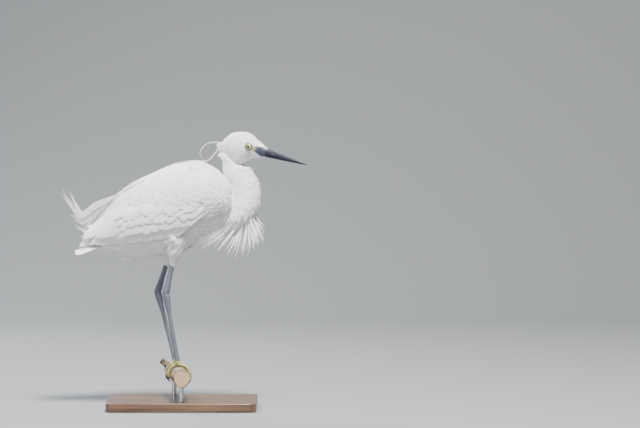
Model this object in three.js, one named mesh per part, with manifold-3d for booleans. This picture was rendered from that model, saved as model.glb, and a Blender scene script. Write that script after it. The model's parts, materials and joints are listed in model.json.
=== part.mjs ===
// A little egret in breeding plumage, life size: neck folded, bill pointing forwards and down, both feet
// gripping a short cut branch that two rods hold over a flat base.
// Millimetres. +X is the way the bird faces, +Y its left side, +Z up.
// The origin is the middle of the base's underside.

import * as THREE from "three";
import { mergeVertices } from "three/addons/utils/BufferGeometryUtils.js";
import Module from "manifold-3d";

const wasm = await Module();
wasm.setup();

const { clamp, degToRad, lerp } = THREE.MathUtils;
const V = (x, y, z) => new THREE.Vector3(x, y, z);

// The clearance that touching pieces keep
const gap = 0.3;

// Stand and perch
const baseLength = 232;
const baseWidth = 150;
const baseHeight = 14;
const baseCorner = 12;
const baseBevel = 1.5;
const rodRadius = 4;
const rodSpread = 52;
const perchRadius = 13.5;
const perchLength = 150;
const perchTurn = degToRad(9);
const perchMiddle = V(-7, 0, 52.5);
const perchHold = 34;
const perchUneven = 0.9;
const perchSag = 2.5;
const stubAlong = 62;
const stubRadius = 5;
const stubLength = 13;

// The torso: where each cross-section stands, its top, its bottom and its greatest half-width
const torsoStations = [
  { x: 90, top: 330, bottom: 304, half: 9 },
  { x: 80, top: 352, bottom: 286, half: 25 },
  { x: 62, top: 370, bottom: 274, half: 35 },
  { x: 35, top: 382, bottom: 260, half: 41 },
  { x: 5, top: 381.5, bottom: 246, half: 44 },
  { x: -30, top: 368, bottom: 236, half: 43 },
  { x: -65, top: 351, bottom: 231, half: 38 },
  { x: -98, top: 328, bottom: 236, half: 29 },
  { x: -122, top: 300, bottom: 245, half: 18 },
  { x: -136, top: 283, bottom: 254, half: 9 },
];
const torsoSides = 24;
const torsoRings = 16;
const torsoGreatest = 0.56;

// The neck's folded outline, from the nape down to the breast: back edge, front edge and half-width
const neckStations = [
  { back: [56, 396], front: [95, 392], half: 13 },
  { back: [59.5, 385], front: [100, 378], half: 15 },
  { back: [60.5, 373], front: [110, 374.5], half: 19 },
  { back: [63.5, 361], front: [118, 362], half: 22.5 },
  { back: [68, 349.5], front: [122, 348], half: 25 },
  { back: [70, 337], front: [123.5, 333], half: 27 },
  { back: [67, 321], front: [122, 318], half: 29 },
  { back: [62, 303], front: [116, 304], half: 29 },
  { back: [60, 288], front: [106, 292], half: 24 },
  { back: [66, 280], front: [94, 284], half: 13 },
];
const neckSides = 20;
const neckRings = 16;

// The head in its own frame: +X along the bill, the origin between the eyes
const headPlace = V(108.5, -12.5, 406.8);
const headDrop = degToRad(14.5);
const headTurn = degToRad(-20);
const headStations = [
  { x: -51, top: -9, bottom: -17, half: 4 },
  { x: -45, top: 1.5, bottom: -25, half: 9.5 },
  { x: -34, top: 13.4, bottom: -31, half: 14 },
  { x: -22, top: 18.2, bottom: -34, half: 16.2 },
  { x: -10, top: 19.8, bottom: -32.5, half: 16.8 },
  { x: 0, top: 17.4, bottom: -24.5, half: 15.5 },
  { x: 8, top: 12.9, bottom: -18.6, half: 12.4 },
  { x: 16, top: 8.4, bottom: -14.2, half: 9.4 },
  { x: 22, top: 5.2, bottom: -11.8, half: 7.2 },
  { x: 27, top: 3.5, bottom: -10.3, half: 5.6 },
];
const headSides = 22;
const headRings = 16;

const eyeRadius = 5.6;
const eyeAt = V(0, 10.9, 0);
const lidRadius = 4.9;
const lidThickness = 0.9;
const lidOut = 3.6;
const lidTurn = degToRad(13);
const gapeFrom = V(29, 0, -4);
const gapeTo = V(5, 0, -8);
const gapeWidth = 0.6;
const gapeDepth = 0.9;

const billLength = 96;
const billRoot = 20;
const billHeight = 7.4;
const billDepth = 6.4;
const billHalfWidth = 5.5;
const mouthLine = -3.9;
const mouthGap = 0.4;
const billTaper = 0.88;
const nostrilAt = 39;
const nostrilLength = 8;
const nostrilHeight = 0.9;
const nostrilDepth = 0.8;

// Legs: hip, ankle and foot of each, and their thicknesses
const legs = {
  right: { side: -1, hip: V(-6, -22, 262), ankle: V(-24.5, -19, 180), footAlong: -16 },
  left: { side: 1, hip: V(-14, 22, 258), ankle: V(-39, 20, 179.5), footAlong: 16 },
};
const tibiaRadius = 3.9;
const tarsusRadius = 3.2;
const ankleRadius = 5.8;
const thighLength = 36;

const toeRadius = 2.9;
const toeTipRadius = 2;
const clawLength = 11;
const footHeight = 3;
const toes = [
  { name: "middle", from: -14, to: 128, drift: 1 },
  { name: "inner", from: -10, to: 104, drift: -11 },
  { name: "outer", from: -10, to: 110, drift: 14 },
  { name: "hind", from: -8, to: -98, drift: -3 },
];

// Wing: the upper and lower edge of the folded wing, seen from the side, its half-width where it
// stands free behind the body, and how far its arm rises over the body
const wingStations = [
  { x: 77, top: 344, bottom: 318, half: 20, bulge: 2 },
  { x: 70, top: 356, bottom: 305, half: 30, bulge: 7 },
  { x: 50, top: 367, bottom: 296, half: 38, bulge: 9 },
  { x: 15, top: 373, bottom: 285, half: 43.5, bulge: 9.5 },
  { x: -25, top: 361, bottom: 272, half: 43, bulge: 9 },
  { x: -65, top: 341, bottom: 262, half: 38, bulge: 8 },
  { x: -98, top: 312, bottom: 254, half: 28, bulge: 6 },
  { x: -125, top: 280, bottom: 251, half: 19.5, bulge: 4 },
  { x: -145, top: 264, bottom: 251, half: 12, bulge: 3 },
  { x: -158, top: 256, bottom: 248, half: 8, bulge: 2 },
];
const wingFree = -95;
const wingRings = 11;
const wingSteps = 5;
const wingArmEnd = 0.78;
const wingEdge = 2.4;

// The tiers of the folded wing, seen from the side: where the first and last tips lie, the slope of the
// first and last vane, and each tier's count, length, greatest half-width, lift over the body and tilt
const wingTiers = [
  { tips: [[-118, 256], [-158, 253]], slopes: [24, 33], count: 5, long: 112, half: 3.5, lift: 1.7, tilt: 0.3 },
  { tips: [[-22, 266], [-138, 255]], slopes: [40, 26], count: 9, long: 92, half: 5, lift: 4.9, tilt: 0.3 },
  { tips: [[-112, 268], [-150, 262]], slopes: [34, 40], count: 4, long: 84, half: 4.6, lift: 8, tilt: 0.26 },
  { tips: [[2, 292], [-88, 271]], slopes: [42, 32], count: 7, long: 48, half: 4.9, lift: 8.6, tilt: 0.26 },
];
const vaneThickness = 0.8;

// Tail: six pairs of feathers from one root, the middle pair on top
const tailRoot = V(-112, 0, 263);
const tailRump = V(-140, 0, 254);
const tailTip = V(-166, 0, 245);
const tailPairs = 6;
const tailFan = degToRad(2.9);
const tailHalf = 5.6;
const tailStack = 1.1;

// Back plumes, the long loose feathers of the breeding season: where the topmost and the lowest bend
// and end, seen from the side
const backPlumeCount = 13;
const backPlumeBends = [[-158, 302], [-156, 297], [-152, 285], [-146, 272]];
const backPlumeTips = [[-190, 340], [-169, 324], [-170, 293], [-160, 277]];
const backPlumeSpread = degToRad(28);

// The two nape plumes, by places on their way: one loops out to the shoulder, one falls to the back
const napeLooped = [[72, 4, 407], [60, 5, 412], [40, 6, 411], [28, 8, 398], [32, 14, 386], [42, 20, 376.5]];
const napeFallen = [[72, 1, 404], [60, 0, 406], [49, -4, 393], [38, -8, 384.5], [10, -9, 384], [-20, -9, 375]];

// Breast plumes: tips seen from the side, for the row on each flank and the row in the middle
const breastPlumeHeight = 302;
const breastPlumeRows = [
  { y: -17, tips: [[28, 254], [29, 243], [51, 242], [76, 232], [103, 231], [120, 258]] },
  { y: 0, tips: [[65, 243], [88, 236], [112, 243], [126, 257], [125, 283]] },
  { y: 17, tips: [[33, 246], [56, 238], [84, 235], [108, 240], [122, 268]] },
];

const materials = {
  plumage: { color: 0xf4f3ee, roughness: 0.85, metalness: 0 },
  bill: { color: 0x2b2e3a, roughness: 0.4, metalness: 0 },
  eye: { color: 0xd9cf7a, roughness: 0.08, metalness: 0 },
  leg: { color: 0x3a3f49, roughness: 0.55, metalness: 0 },
  foot: { color: 0xa8a04a, roughness: 0.6, metalness: 0 },
  bark: { color: 0x6f6254, roughness: 0.9, metalness: 0 },
  base: { color: 0x4a3a2c, roughness: 0.5, metalness: 0 },
  rod: { color: 0x9a9c9e, roughness: 0.3, metalness: 1 },
};

const egret = new THREE.Group();

// A solid from any closed geometry
function solidOf(geometry) {
  const bare = new THREE.BufferGeometry();
  bare.setAttribute("position", geometry.getAttribute("position"));
  bare.setIndex(geometry.getIndex());
  const merged = mergeVertices(bare);
  return new wasm.Manifold(
    new wasm.Mesh({
      numProp: 3,
      vertProperties: new Float32Array(merged.getAttribute("position").array),
      triVerts: new Uint32Array(merged.getIndex().array),
    }),
  );
}

// A geometry from points and faces, turned so that its faces point out
function geometryOf(points, faces) {
  const volume = faces.reduce(
    (sum, [a, b, c]) => sum + points[a].dot(points[b].clone().cross(points[c])),
    0,
  );
  const outward = volume < 0 ? faces.map(([a, b, c]) => [a, c, b]) : faces;
  const geometry = new THREE.BufferGeometry().setFromPoints(points);
  geometry.setIndex(outward.flat());
  return geometry;
}

// A closed solid through rings of points. A ring of one point makes a pointed end.
function loft(rings) {
  const points = [];
  const faces = [];
  const starts = rings.map((ring) => points.push(...ring) - ring.length);
  const at = (k, s) => starts[k] + (s % rings[k].length);
  const sides = Math.max(...rings.map((ring) => ring.length));
  for (let k = 0; k + 1 < rings.length; k++) {
    for (let s = 0; s < sides; s++) {
      if (rings[k].length > 1) faces.push([at(k, s), at(k, s + 1), at(k + 1, s)]);
      if (rings[k + 1].length > 1) faces.push([at(k, s + 1), at(k + 1, s + 1), at(k + 1, s)]);
    }
  }
  for (const k of [0, rings.length - 1]) {
    if (rings[k].length === 1) continue;
    const middle = rings[k].reduce((sum, p) => sum.add(p), V(0, 0, 0)).divideScalar(sides);
    const centre = points.push(middle) - 1;
    for (let s = 0; s < sides; s++) {
      faces.push(k ? [at(k, s), at(k, s + 1), centre] : [at(k, s + 1), at(k, s), centre]);
    }
  }
  return solidOf(geometryOf(points, faces));
}

// Catmull-Rom value at f between numbers[i] and numbers[i + 1]
function between(numbers, i, f) {
  const [a, b, c, d] = [i - 1, i, i + 1, i + 2].map((k) => numbers[clamp(k, 0, numbers.length - 1)]);
  return b + 0.5 * f * (c - a + f * (2 * a - 5 * b + 4 * c - d + f * (3 * (b - c) + d - a)));
}

// Every size of a list of stations at t, from 0 at the first to 1 at the last
function along(stations, t) {
  const last = stations.length - 1;
  const i = clamp(Math.floor(t * last), 0, last - 1);
  const read = (section, key, n) => (n === undefined ? section[key] : section[key][n]);
  const pick = (key, n) => between(stations.map((section) => read(section, key, n)), i, t * last - i);
  const sizes = {};
  for (const key of Object.keys(stations[0])) {
    sizes[key] = Array.isArray(stations[0][key]) ? [pick(key, 0), pick(key, 1)] : pick(key);
  }
  return sizes;
}

// The same, at a place x of stations that run along X
function atX(stations, x) {
  const last = stations.length - 1;
  const way = Math.sign(stations[last].x - stations[0].x);
  let i = 0;
  while (i < last - 1 && (x - stations[i + 1].x) * way > 0) i++;
  const f = clamp((x - stations[i].x) / (stations[i + 1].x - stations[i].x), 0, 1);
  const sizes = {};
  for (const key of Object.keys(stations[0])) {
    sizes[key] = between(stations.map((s) => s[key]), i, f);
  }
  return { ...sizes, x };
}

// A point of a barrel-shaped section: turn 0 is its top, a quarter turn its left side
function barrelPoint(section, turn, lift = 0) {
  const middle = lerp(section.bottom, section.top, torsoGreatest);
  const rise = Math.cos(turn) > 0 ? section.top - middle : middle - section.bottom;
  const fullness = Math.cos(turn) > 0 ? 0.9 : 1.1;
  const side = Math.sign(Math.sin(turn)) * Math.abs(Math.sin(turn)) ** fullness;
  const out = V(0, Math.sin(turn) * rise, Math.cos(turn) * section.half).normalize();
  return V(section.x, section.half * side, middle + rise * Math.cos(turn)).addScaledVector(out, lift);
}

// The turn at which a barrel section has height z
function turnAt(section, z) {
  const middle = lerp(section.bottom, section.top, torsoGreatest);
  const rise = z > middle ? section.top - middle : middle - section.bottom;
  return Math.acos(clamp((z - middle) / rise, -1, 1));
}

// A seeded draw between two numbers
let seed = 9338;
function draw(low, high) {
  seed = (seed * 48271) % 2147483647;
  return lerp(low, high, seed / 2147483647);
}

const turns = (sides) => Array.from({ length: sides }, (_, s) => (s / sides) * 2 * Math.PI);
const steps = (count) => Array.from({ length: count + 1 }, (_, k) => k / count);

// A value part of the way along a list
function partWay(values, t) {
  const last = values.length - 1;
  const i = clamp(Math.floor(t * last), 0, last - 1);
  return between(values, i, t * last - i);
}

// A tube through points, each with its own radius
function tube(path, radii, sides = 10, count = (path.length - 1) * 2) {
  const curve = new THREE.CatmullRomCurve3(path, false, "catmullrom");
  const frames = curve.computeFrenetFrames(count);
  const rings = steps(count).map((t, k) => {
    const centre = curve.getPoint(t);
    const radius = partWay(radii, t);
    if (radius < 0.05) return [centre];
    return turns(sides).map((turn) =>
      centre
        .clone()
        .addScaledVector(frames.normals[k], radius * Math.cos(turn))
        .addScaledVector(frames.binormals[k], radius * Math.sin(turn)),
    );
  });
  return loft(rings);
}

// A thin flat vane along a path, faces split alike on both sides
function vane(path, facing, halfWidths, thickness) {
  const points = [];
  const faces = [];
  const last = path.length - 1;
  path.forEach((centre, k) => {
    const ahead = path[Math.min(k + 1, last)].clone().sub(path[Math.max(k - 1, 0)]).normalize();
    const across = ahead.clone().cross(facing[k]).normalize();
    const up = across.clone().cross(ahead).normalize();
    for (const [side, face] of [[1, 1], [-1, 1], [1, -1], [-1, -1]]) {
      points.push(
        centre
          .clone()
          .addScaledVector(across, side * halfWidths[k])
          .addScaledVector(up, (face * thickness[k]) / 2),
      );
    }
  });
  for (let k = 0; k < last; k++) {
    const [a, b, c, d] = [0, 1, 2, 3].map((n) => 4 * k + n);
    const [e, f, g, h] = [0, 1, 2, 3].map((n) => 4 * k + 4 + n);
    faces.push([a, b, e], [b, f, e], [c, g, d], [d, g, h]);
    faces.push([a, e, c], [c, e, g], [b, d, f], [d, h, f]);
  }
  const end = 4 * last;
  faces.push([0, 2, 1], [1, 2, 3], [end, end + 1, end + 2], [end + 1, end + 3, end + 2]);
  return solidOf(geometryOf(points, faces));
}

// The largest closed surface of a solid
function largest(solid) {
  const pieces = solid.decompose();
  return pieces.reduce((best, piece) => (piece.volume() > best.volume() ? piece : best));
}

const join = (solids) => wasm.Manifold.union(solids);

// Adds a solid to the model as a named mesh
function add(name, solid, material) {
  const mesh = largest(solid).getMesh();
  const geometry = new THREE.BufferGeometry();
  geometry.setAttribute("position", new THREE.BufferAttribute(new Float32Array(mesh.vertProperties), 3));
  geometry.setIndex(new THREE.BufferAttribute(new Uint32Array(mesh.triVerts), 1));
  geometry.computeVertexNormals();
  const part = new THREE.Mesh(geometry, new THREE.MeshStandardMaterial(materials[material]));
  part.name = name;
  egret.add(part);
}

// The side of a solid that a plane faces, kept back from the plane
function beyond(solid, at, facing, back = gap / 2) {
  return solid.trimByPlane(facing.toArray(), at.dot(facing) + back);
}

// Torso
function torsoBody(grow = 0) {
  const rings = steps(torsoRings).map((t) => {
    const section = along(torsoStations, t);
    section.x += (1 - 2 * t) * grow;
    return turns(torsoSides).map((turn) => barrelPoint(section, turn, grow));
  });
  return loft(rings);
}

// Neck
function neckPoint(t, turn, lift = 0) {
  const section = along(neckStations, t);
  const back = V(section.back[0], 0, section.back[1]);
  const front = V(section.front[0], 0, section.front[1]);
  const depth = back.distanceTo(front) / 2;
  const forward = front.clone().sub(back).normalize();
  return back
    .add(front)
    .divideScalar(2)
    .addScaledVector(forward, (depth + lift) * Math.cos(turn))
    .addScaledVector(V(0, 1, 0), (section.half + lift) * Math.sin(turn));
}

function neckBody(grow = 0) {
  return loft(steps(neckRings).map((t) => turns(neckSides).map((turn) => neckPoint(t, turn, grow))));
}

// Head frame
const headFrame = new THREE.Matrix4().makeTranslation(headPlace.x, headPlace.y, headPlace.z);
headFrame.multiply(new THREE.Matrix4().makeRotationZ(headTurn));
headFrame.multiply(new THREE.Matrix4().makeRotationY(headDrop));
const onHead = (x, y, z) => V(x, y, z).applyMatrix4(headFrame);

function headBody(grow = 0) {
  const rings = steps(headRings).map((t) => {
    const section = along(headStations, t);
    return turns(headSides).map((turn) => {
      const p = barrelPoint(section, turn, grow);
      return onHead(p.x + (t - 0.5) * 2 * grow, p.y, p.z);
    });
  });
  return loft(rings);
}

// Half of the bill: the upper half rises above the mouth line and the lower half hangs under it
function billHalf(way, height) {
  const rings = steps(10).map((t) => {
    const x = lerp(billRoot, billLength, t);
    const taper = (1 - t) ** billTaper * 0.97 + 0.02;
    const rim = mouthLine + way * (mouthGap / 2);
    if (t === 1) return [onHead(x - (way < 0 ? 2 : 0), 0, rim + way * 0.3)];
    return turns(12).map((turn) => {
      const round = (1 + Math.cos(turn)) / 2;
      return onHead(x, billHalfWidth * taper * Math.sin(turn), rim + way * height * taper * round ** 0.8);
    });
  });
  return loft(rings);
}

// Legs
function footPoint(alongPerch, around, height) {
  const across = (perchRadius + height) * Math.sin(around);
  const up = (perchRadius + height) * Math.cos(around);
  return V(across, alongPerch, up).applyAxisAngle(V(0, 0, 1), perchTurn).add(perchMiddle);
}

function legBody(leg) {
  const sole = footPoint(leg.footAlong, degToRad(-5), toeRadius + gap + 1);
  const path = [
    leg.hip,
    leg.hip.clone().lerp(leg.ankle, 0.5),
    leg.hip.clone().lerp(leg.ankle, 0.86),
    leg.ankle,
    leg.ankle.clone().lerp(sole, 0.12),
    leg.ankle.clone().lerp(sole, 0.5),
    leg.ankle.clone().lerp(sole, 0.9),
    sole,
  ];
  const radii = [
    tibiaRadius * 1.3,
    tibiaRadius,
    tibiaRadius,
    ankleRadius,
    tarsusRadius * 1.3,
    tarsusRadius,
    tarsusRadius * 1.15,
    tarsusRadius * 1.35,
  ];
  return { body: tube(path, radii, 11), sole };
}

function toeBodies(leg) {
  return toes.map((toe) => {
    const path = [];
    const radii = [];
    const reach = degToRad(toe.to - toe.from);
    const clawReach = (clawLength / (perchRadius + toeRadius)) * Math.sign(reach);
    for (const t of steps(6)) {
      const radius = lerp(toeRadius, toeTipRadius, t);
      const outward = leg.side * toe.drift * Math.sqrt(t);
      path.push(footPoint(leg.footAlong + outward, degToRad(toe.from) + reach * t, radius + gap + 0.2));
      radii.push(radius);
    }
    for (const t of [0.5, 1]) {
      const around = degToRad(toe.to) + clawReach * t;
      path.push(footPoint(leg.footAlong + leg.side * toe.drift, around, toeTipRadius + gap + 0.6));
      radii.push(t < 1 ? 1.1 : 0);
    }
    return tube(path, radii, 6, 10);
  });
}

const torsoRoom = torsoBody(gap);
const skullRoom = headBody(gap);

// A point over the torso, at a place along it and a turn about it
const overTorso = (x, turn, lift) => barrelPoint(atX(torsoStations, x), turn, lift);

// A path of evenly spaced points on a smooth curve through a few
function smooth(points, count) {
  const curve = new THREE.CatmullRomCurve3(points);
  return steps(count).map((t) => curve.getPoint(t));
}

// A long plume that tapers to a point, from a few points on its way
function plume(points, facing, halfWidth, count = 7) {
  const path = smooth(points, count);
  const taper = steps(count).map((t) => lerp(1, 0.16, t ** 1.8));
  const widths = taper.map((w) => halfWidth * w);
  return vane(path, path.map(() => facing), widths, taper.map((w) => 0.5 + 0.8 * w));
}

// Head
function nostril(side) {
  const slot = new THREE.BoxGeometry(nostrilLength, 2 * nostrilDepth, nostrilHeight, 1, 1, 1);
  slot.translate(nostrilAt, side * billHalfWidth * 0.78, mouthLine + billHeight * 0.36);
  return solidOf(slot.applyMatrix4(headFrame));
}

function eyeBall(side, grow = 0) {
  const ball = new THREE.SphereGeometry(eyeRadius + grow, 14, 10);
  return solidOf(ball.translate(eyeAt.x, side * eyeAt.y, eyeAt.z).applyMatrix4(headFrame));
}

function lids(side) {
  const ring = new THREE.TorusGeometry(lidRadius, lidThickness, 5, 14);
  ring.rotateX(Math.PI / 2).rotateZ(-side * lidTurn);
  ring.translate(eyeAt.x, side * (eyeAt.y + lidOut), eyeAt.z);
  return solidOf(ring.applyMatrix4(headFrame));
}

// The line of the mouth, which runs on from the bill's root to below the eye
function gape() {
  const long = gapeFrom.distanceTo(gapeTo);
  const slab = new THREE.BoxGeometry(long, 60, gapeWidth);
  slab.rotateY(Math.atan2(gapeTo.z - gapeFrom.z, gapeFrom.x - gapeTo.x));
  slab.translate((gapeFrom.x + gapeTo.x) / 2, 0, (gapeFrom.z + gapeTo.z) / 2);
  return solidOf(slab.applyMatrix4(headFrame)).subtract(headBody(-gapeDepth));
}

// Two long narrow plumes on the nape: one loops out and onto the shoulder, the other falls to the back
function napePlumes() {
  return [napeLooped, napeFallen].map((points) => {
    const path = smooth(points.map((point) => V(...point)), 12);
    const widths = steps(12).map((t) => lerp(4.8, 1.2, t ** 1.5));
    return vane(path, path.map(() => V(0, 1, 0)), path.map(() => 0.5), widths);
  });
}

// The narrow pointed plumes that hang from the breast
function breastPlumes() {
  return breastPlumeRows.flatMap((row) =>
    row.tips.map(([x, z], i) => {
      const stagger = i % 2 ? 1.1 : -1.1;
      const root = V(lerp(95, 105, x / 130), row.y * 0.8 + stagger, breastPlumeHeight);
      const tip = V(x, row.y * 1.15 + 2 * stagger, z);
      const down = root.clone().lerp(tip, 0.5).add(V((x - 80) * 0.07, 0, -4));
      return plume([root, down, tip], V(draw(-0.3, 0.3), 1, 0), 2.2, 4);
    }),
  );
}

// The long loose plumes that lie along the back and curl up behind it
function backPlumes() {
  return steps(backPlumeCount - 1).map((t, i) => {
    const lane = (i * 5) % backPlumeCount;
    const turn = backPlumeSpread * ((2 * lane) / (backPlumeCount - 1) - 1);
    const rise = lane % 2 ? 1.6 : 3.6;
    const at = (list, n) => partWay(list.map((point) => point[n]), t);
    const side = Math.sin(turn);
    const bend = V(at(backPlumeBends, 0) + draw(-3, 3), side * 25, at(backPlumeBends, 1));
    const tip = V(at(backPlumeTips, 0) + draw(-3, 3), side * 34 + draw(-1, 1), at(backPlumeTips, 1));
    const points = [
      overTorso(draw(-42, -22), turn, -4),
      overTorso(-62, turn, rise),
      overTorso(-95, turn * 0.9, rise + 1),
      bend.clone().lerp(overTorso(-95, turn * 0.9, rise + 1), 0.45).add(V(0, 0, 2)),
      bend,
      tip,
    ];
    return plume(points, V(0, side, 1.2), 2.4, 8);
  });
}

// Tail
function tailVane(k, grow = 0) {
  const place = k - tailPairs + 0.5;
  const drop = tailStack * (Math.abs(place) - 0.5) + (place === 0.5 ? tailStack / 2 : 0);
  const fan = place * tailFan;
  const long = tailTip.x - tailRoot.x;
  const path = steps(4).map((t) => {
    const p = tailRoot.clone().lerp(tailTip, t);
    const aside = long * Math.sin(-fan) * t + place * 0.9;
    return V(p.x - long * (1 - Math.cos(fan)) * t, aside, p.z - drop * (0.4 + 0.6 * t));
  });
  const widths = [0.55, 0.8, 0.95, 1, 0.35].map((w) => w * tailHalf + grow);
  const facing = V(0, 0.05 * place, 1);
  return vane(path, path.map(() => facing), widths, path.map(() => vaneThickness + 2 * grow));
}

function tailBody(grow = 0) {
  const middle = tailRoot.clone().lerp(tailRump, 0.5);
  const rump = tube([tailRoot, middle, tailRump], [9 + grow, 7.5 + grow, 4 + grow], 12);
  const vanes = steps(2 * tailPairs - 1).map((_, k) => tailVane(k, grow));
  return join([rump, ...vanes]);
}

// Wings
function overWing(side, x, z, lift) {
  const wing = atX(wingStations, x);
  const free = { x, top: wing.top + 12, bottom: wing.bottom - 8, half: wing.half };
  const barrel = x < wingFree ? free : atX(torsoStations, x);
  const p = barrelPoint(barrel, turnAt(barrel, z), lift);
  return V(p.x, side * p.y, p.z);
}

// The arm of the folded wing, which thins out towards its lower edge and the tip
function wingArm(side) {
  const rings = steps(wingRings).map((t) => {
    const { x, top, bottom, bulge } = along(wingStations, t * wingArmEnd);
    const thick = (v) => wingEdge + bulge * Math.sin(Math.PI * v ** 0.75) ** 0.6 * (1 - t ** 3);
    const outer = steps(wingSteps).map((v) => overWing(side, x, lerp(top, bottom, v), thick(v)));
    const inner = steps(wingSteps).map((v) => overWing(side, x, lerp(bottom, top, v), -2));
    return [...outer, ...inner];
  });
  return loft(rings);
}

// One feather of a tier: it lies along the wing, its upper edge tucked under the feather above
function wingVane(side, tier, t) {
  const [first, last] = tier.tips;
  const tip = V(lerp(first[0], last[0], t), 0, lerp(first[1], last[1], t));
  const slope = degToRad(lerp(...tier.slopes, t));
  const long = tier.long * draw(0.97, 1.03);
  const spans = [1, 0.7, 0.36, 0.09, 0];
  const at = (s, lift) => {
    const bow = 3 * Math.sin(Math.PI * s);
    const reach = long * s;
    return overWing(side, tip.x + reach * Math.cos(slope), tip.z + reach * Math.sin(slope) + bow, lift);
  };
  const path = spans.map((s) => at(s, tier.lift * (1 - 0.12 * s)));
  const facing = spans.map((s, k) => {
    const out = at(s, tier.lift + 10).sub(path[k]).normalize();
    return out.add(V(0, 0, tier.tilt));
  });
  const widths = [0.55, 0.85, 1, 0.8, 0.2].map((w) => w * tier.half);
  return vane(path, facing, widths, spans.map(() => vaneThickness));
}

function wingBody(side) {
  const vanes = wingTiers.flatMap((tier) => steps(tier.count - 1).map((t) => wingVane(side, tier, t)));
  return join([wingArm(side), ...vanes]).subtract(torsoRoom).subtract(tailRoom);
}
const tailRoom = tailBody(gap);

// Perch: a cut length of branch, even where the feet hold it, with the stub of a twig
function perchPoint(alongPerch, turn, radius) {
  const beyondFeet = Math.max(Math.abs(alongPerch) - perchHold, 0) / (perchLength / 2 - perchHold);
  const waves = Math.sin(3 * turn + alongPerch / 9) + Math.sin(alongPerch / 7);
  const uneven = perchUneven * beyondFeet * waves;
  const sag = perchSag * beyondFeet ** 2 * Math.sign(alongPerch);
  const across = (radius + uneven) * Math.sin(turn);
  const up = (radius + uneven) * Math.cos(turn);
  return V(across + sag, alongPerch, up).applyAxisAngle(V(0, 0, 1), perchTurn).add(perchMiddle);
}

function perchBody(grow = 0) {
  const end = perchLength / 2;
  const places = [-end, -end + 1, -62, -50, -perchHold, perchHold, 44, 54, 64, end - 1, end];
  const rings = places.map((place) => {
    const cut = Math.abs(place) === end ? 1.2 : 0;
    return turns(18).map((turn) => perchPoint(place, turn, perchRadius + grow - cut));
  });
  const twigFrom = perchPoint(stubAlong, -0.9, perchRadius - 7);
  const twigTo = perchPoint(stubAlong + 4, -0.9, perchRadius + stubLength);
  const twigMiddle = twigFrom.clone().lerp(twigTo, 0.5);
  const twigRadii = [stubRadius * 1.25, stubRadius, stubRadius * 0.9];
  const twig = tube([twigFrom, twigMiddle, twigTo], twigRadii, 10);
  return join([loft(rings), twig]);
}

// All parts
let head = join([headBody(), ...napePlumes(), lids(-1), lids(1)]).subtract(gape());
for (const [name, side] of Object.entries({ right: -1, left: 1 })) {
  head = head.subtract(eyeBall(side, gap));
  add("eye_" + name, eyeBall(side), "eye");
}
add("head", head, "plumage");
const upperBill = billHalf(1, billHeight).subtract(skullRoom);
add("bill_upper", upperBill.subtract(nostril(-1)).subtract(nostril(1)), "bill");
add("bill_lower", billHalf(-1, billDepth).subtract(skullRoom), "bill");
add("neck", join([neckBody(), ...breastPlumes()]).subtract(torsoRoom).subtract(skullRoom), "plumage");
add("torso", join([torsoBody(), ...backPlumes()]), "plumage");
add("tail", tailBody().subtract(torsoRoom), "plumage");
add("wing_right", wingBody(-1), "plumage");
add("wing_left", wingBody(1), "plumage");

for (const [name, leg] of Object.entries(legs)) {
  const { body, sole } = legBody(leg);
  const thighTo = leg.hip.clone().lerp(leg.ankle, thighLength / leg.hip.distanceTo(leg.ankle));
  const thigh = tube(
    [leg.hip.clone().lerp(leg.ankle, -0.1), leg.hip.clone().lerp(thighTo, 0.5), thighTo],
    [16, 13, tibiaRadius + 2],
    14,
  );
  const downTibia = leg.ankle.clone().sub(leg.hip).normalize();
  const downTarsus = sole.clone().sub(leg.ankle).normalize();
  const throughAnkle = downTibia.clone().add(downTarsus).normalize();
  const footTop = sole.clone().addScaledVector(downTarsus, -footHeight);
  const shank = beyond(beyond(body, thighTo, downTibia, gap), leg.ankle, throughAnkle.clone().negate());
  const tarsus = beyond(beyond(body, leg.ankle, throughAnkle), footTop, downTarsus.clone().negate());
  add("thigh_" + name, thigh.subtract(torsoRoom), "plumage");
  add("shank_" + name, shank, "leg");
  add("tarsus_" + name, tarsus, "leg");
  add("foot_" + name, join([...toeBodies(leg), beyond(body, footTop, downTarsus)]), "foot");
}

add("perch", perchBody(), "bark");
const perchRoom = perchBody(gap);
for (const [name, way] of [["near", -1], ["far", 1]]) {
  const top = perchPoint(way * rodSpread, 0, 0);
  const height = perchMiddle.z - baseHeight - gap;
  const rod = new THREE.CylinderGeometry(rodRadius, rodRadius, height, 16);
  rod.rotateX(Math.PI / 2);
  rod.translate(top.x, top.y, baseHeight + gap + height / 2);
  add("stand_rod_" + name, solidOf(rod).subtract(perchRoom), "rod");
}

const outline = new THREE.Shape();
const half = { x: baseLength / 2 - baseBevel, y: baseWidth / 2 - baseBevel };
outline.moveTo(-half.x + baseCorner, -half.y);
outline.lineTo(half.x - baseCorner, -half.y);
outline.absarc(half.x - baseCorner, -half.y + baseCorner, baseCorner, -Math.PI / 2, 0);
outline.absarc(half.x - baseCorner, half.y - baseCorner, baseCorner, 0, Math.PI / 2);
outline.absarc(-half.x + baseCorner, half.y - baseCorner, baseCorner, Math.PI / 2, Math.PI);
outline.absarc(-half.x + baseCorner, -half.y + baseCorner, baseCorner, Math.PI, 1.5 * Math.PI);
const base = new THREE.ExtrudeGeometry(outline, {
  depth: baseHeight - 2 * baseBevel,
  bevelEnabled: true,
  bevelThickness: baseBevel,
  bevelSize: baseBevel,
  bevelSegments: 1,
  curveSegments: 5,
});
base.translate(0, 0, baseBevel);
add("stand_base", solidOf(base), "base");

export default egret;
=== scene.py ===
import json
import math

import bmesh
import bpy
import numpy as np
from mathutils import Matrix, Vector
from mathutils.kdtree import KDTree

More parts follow.
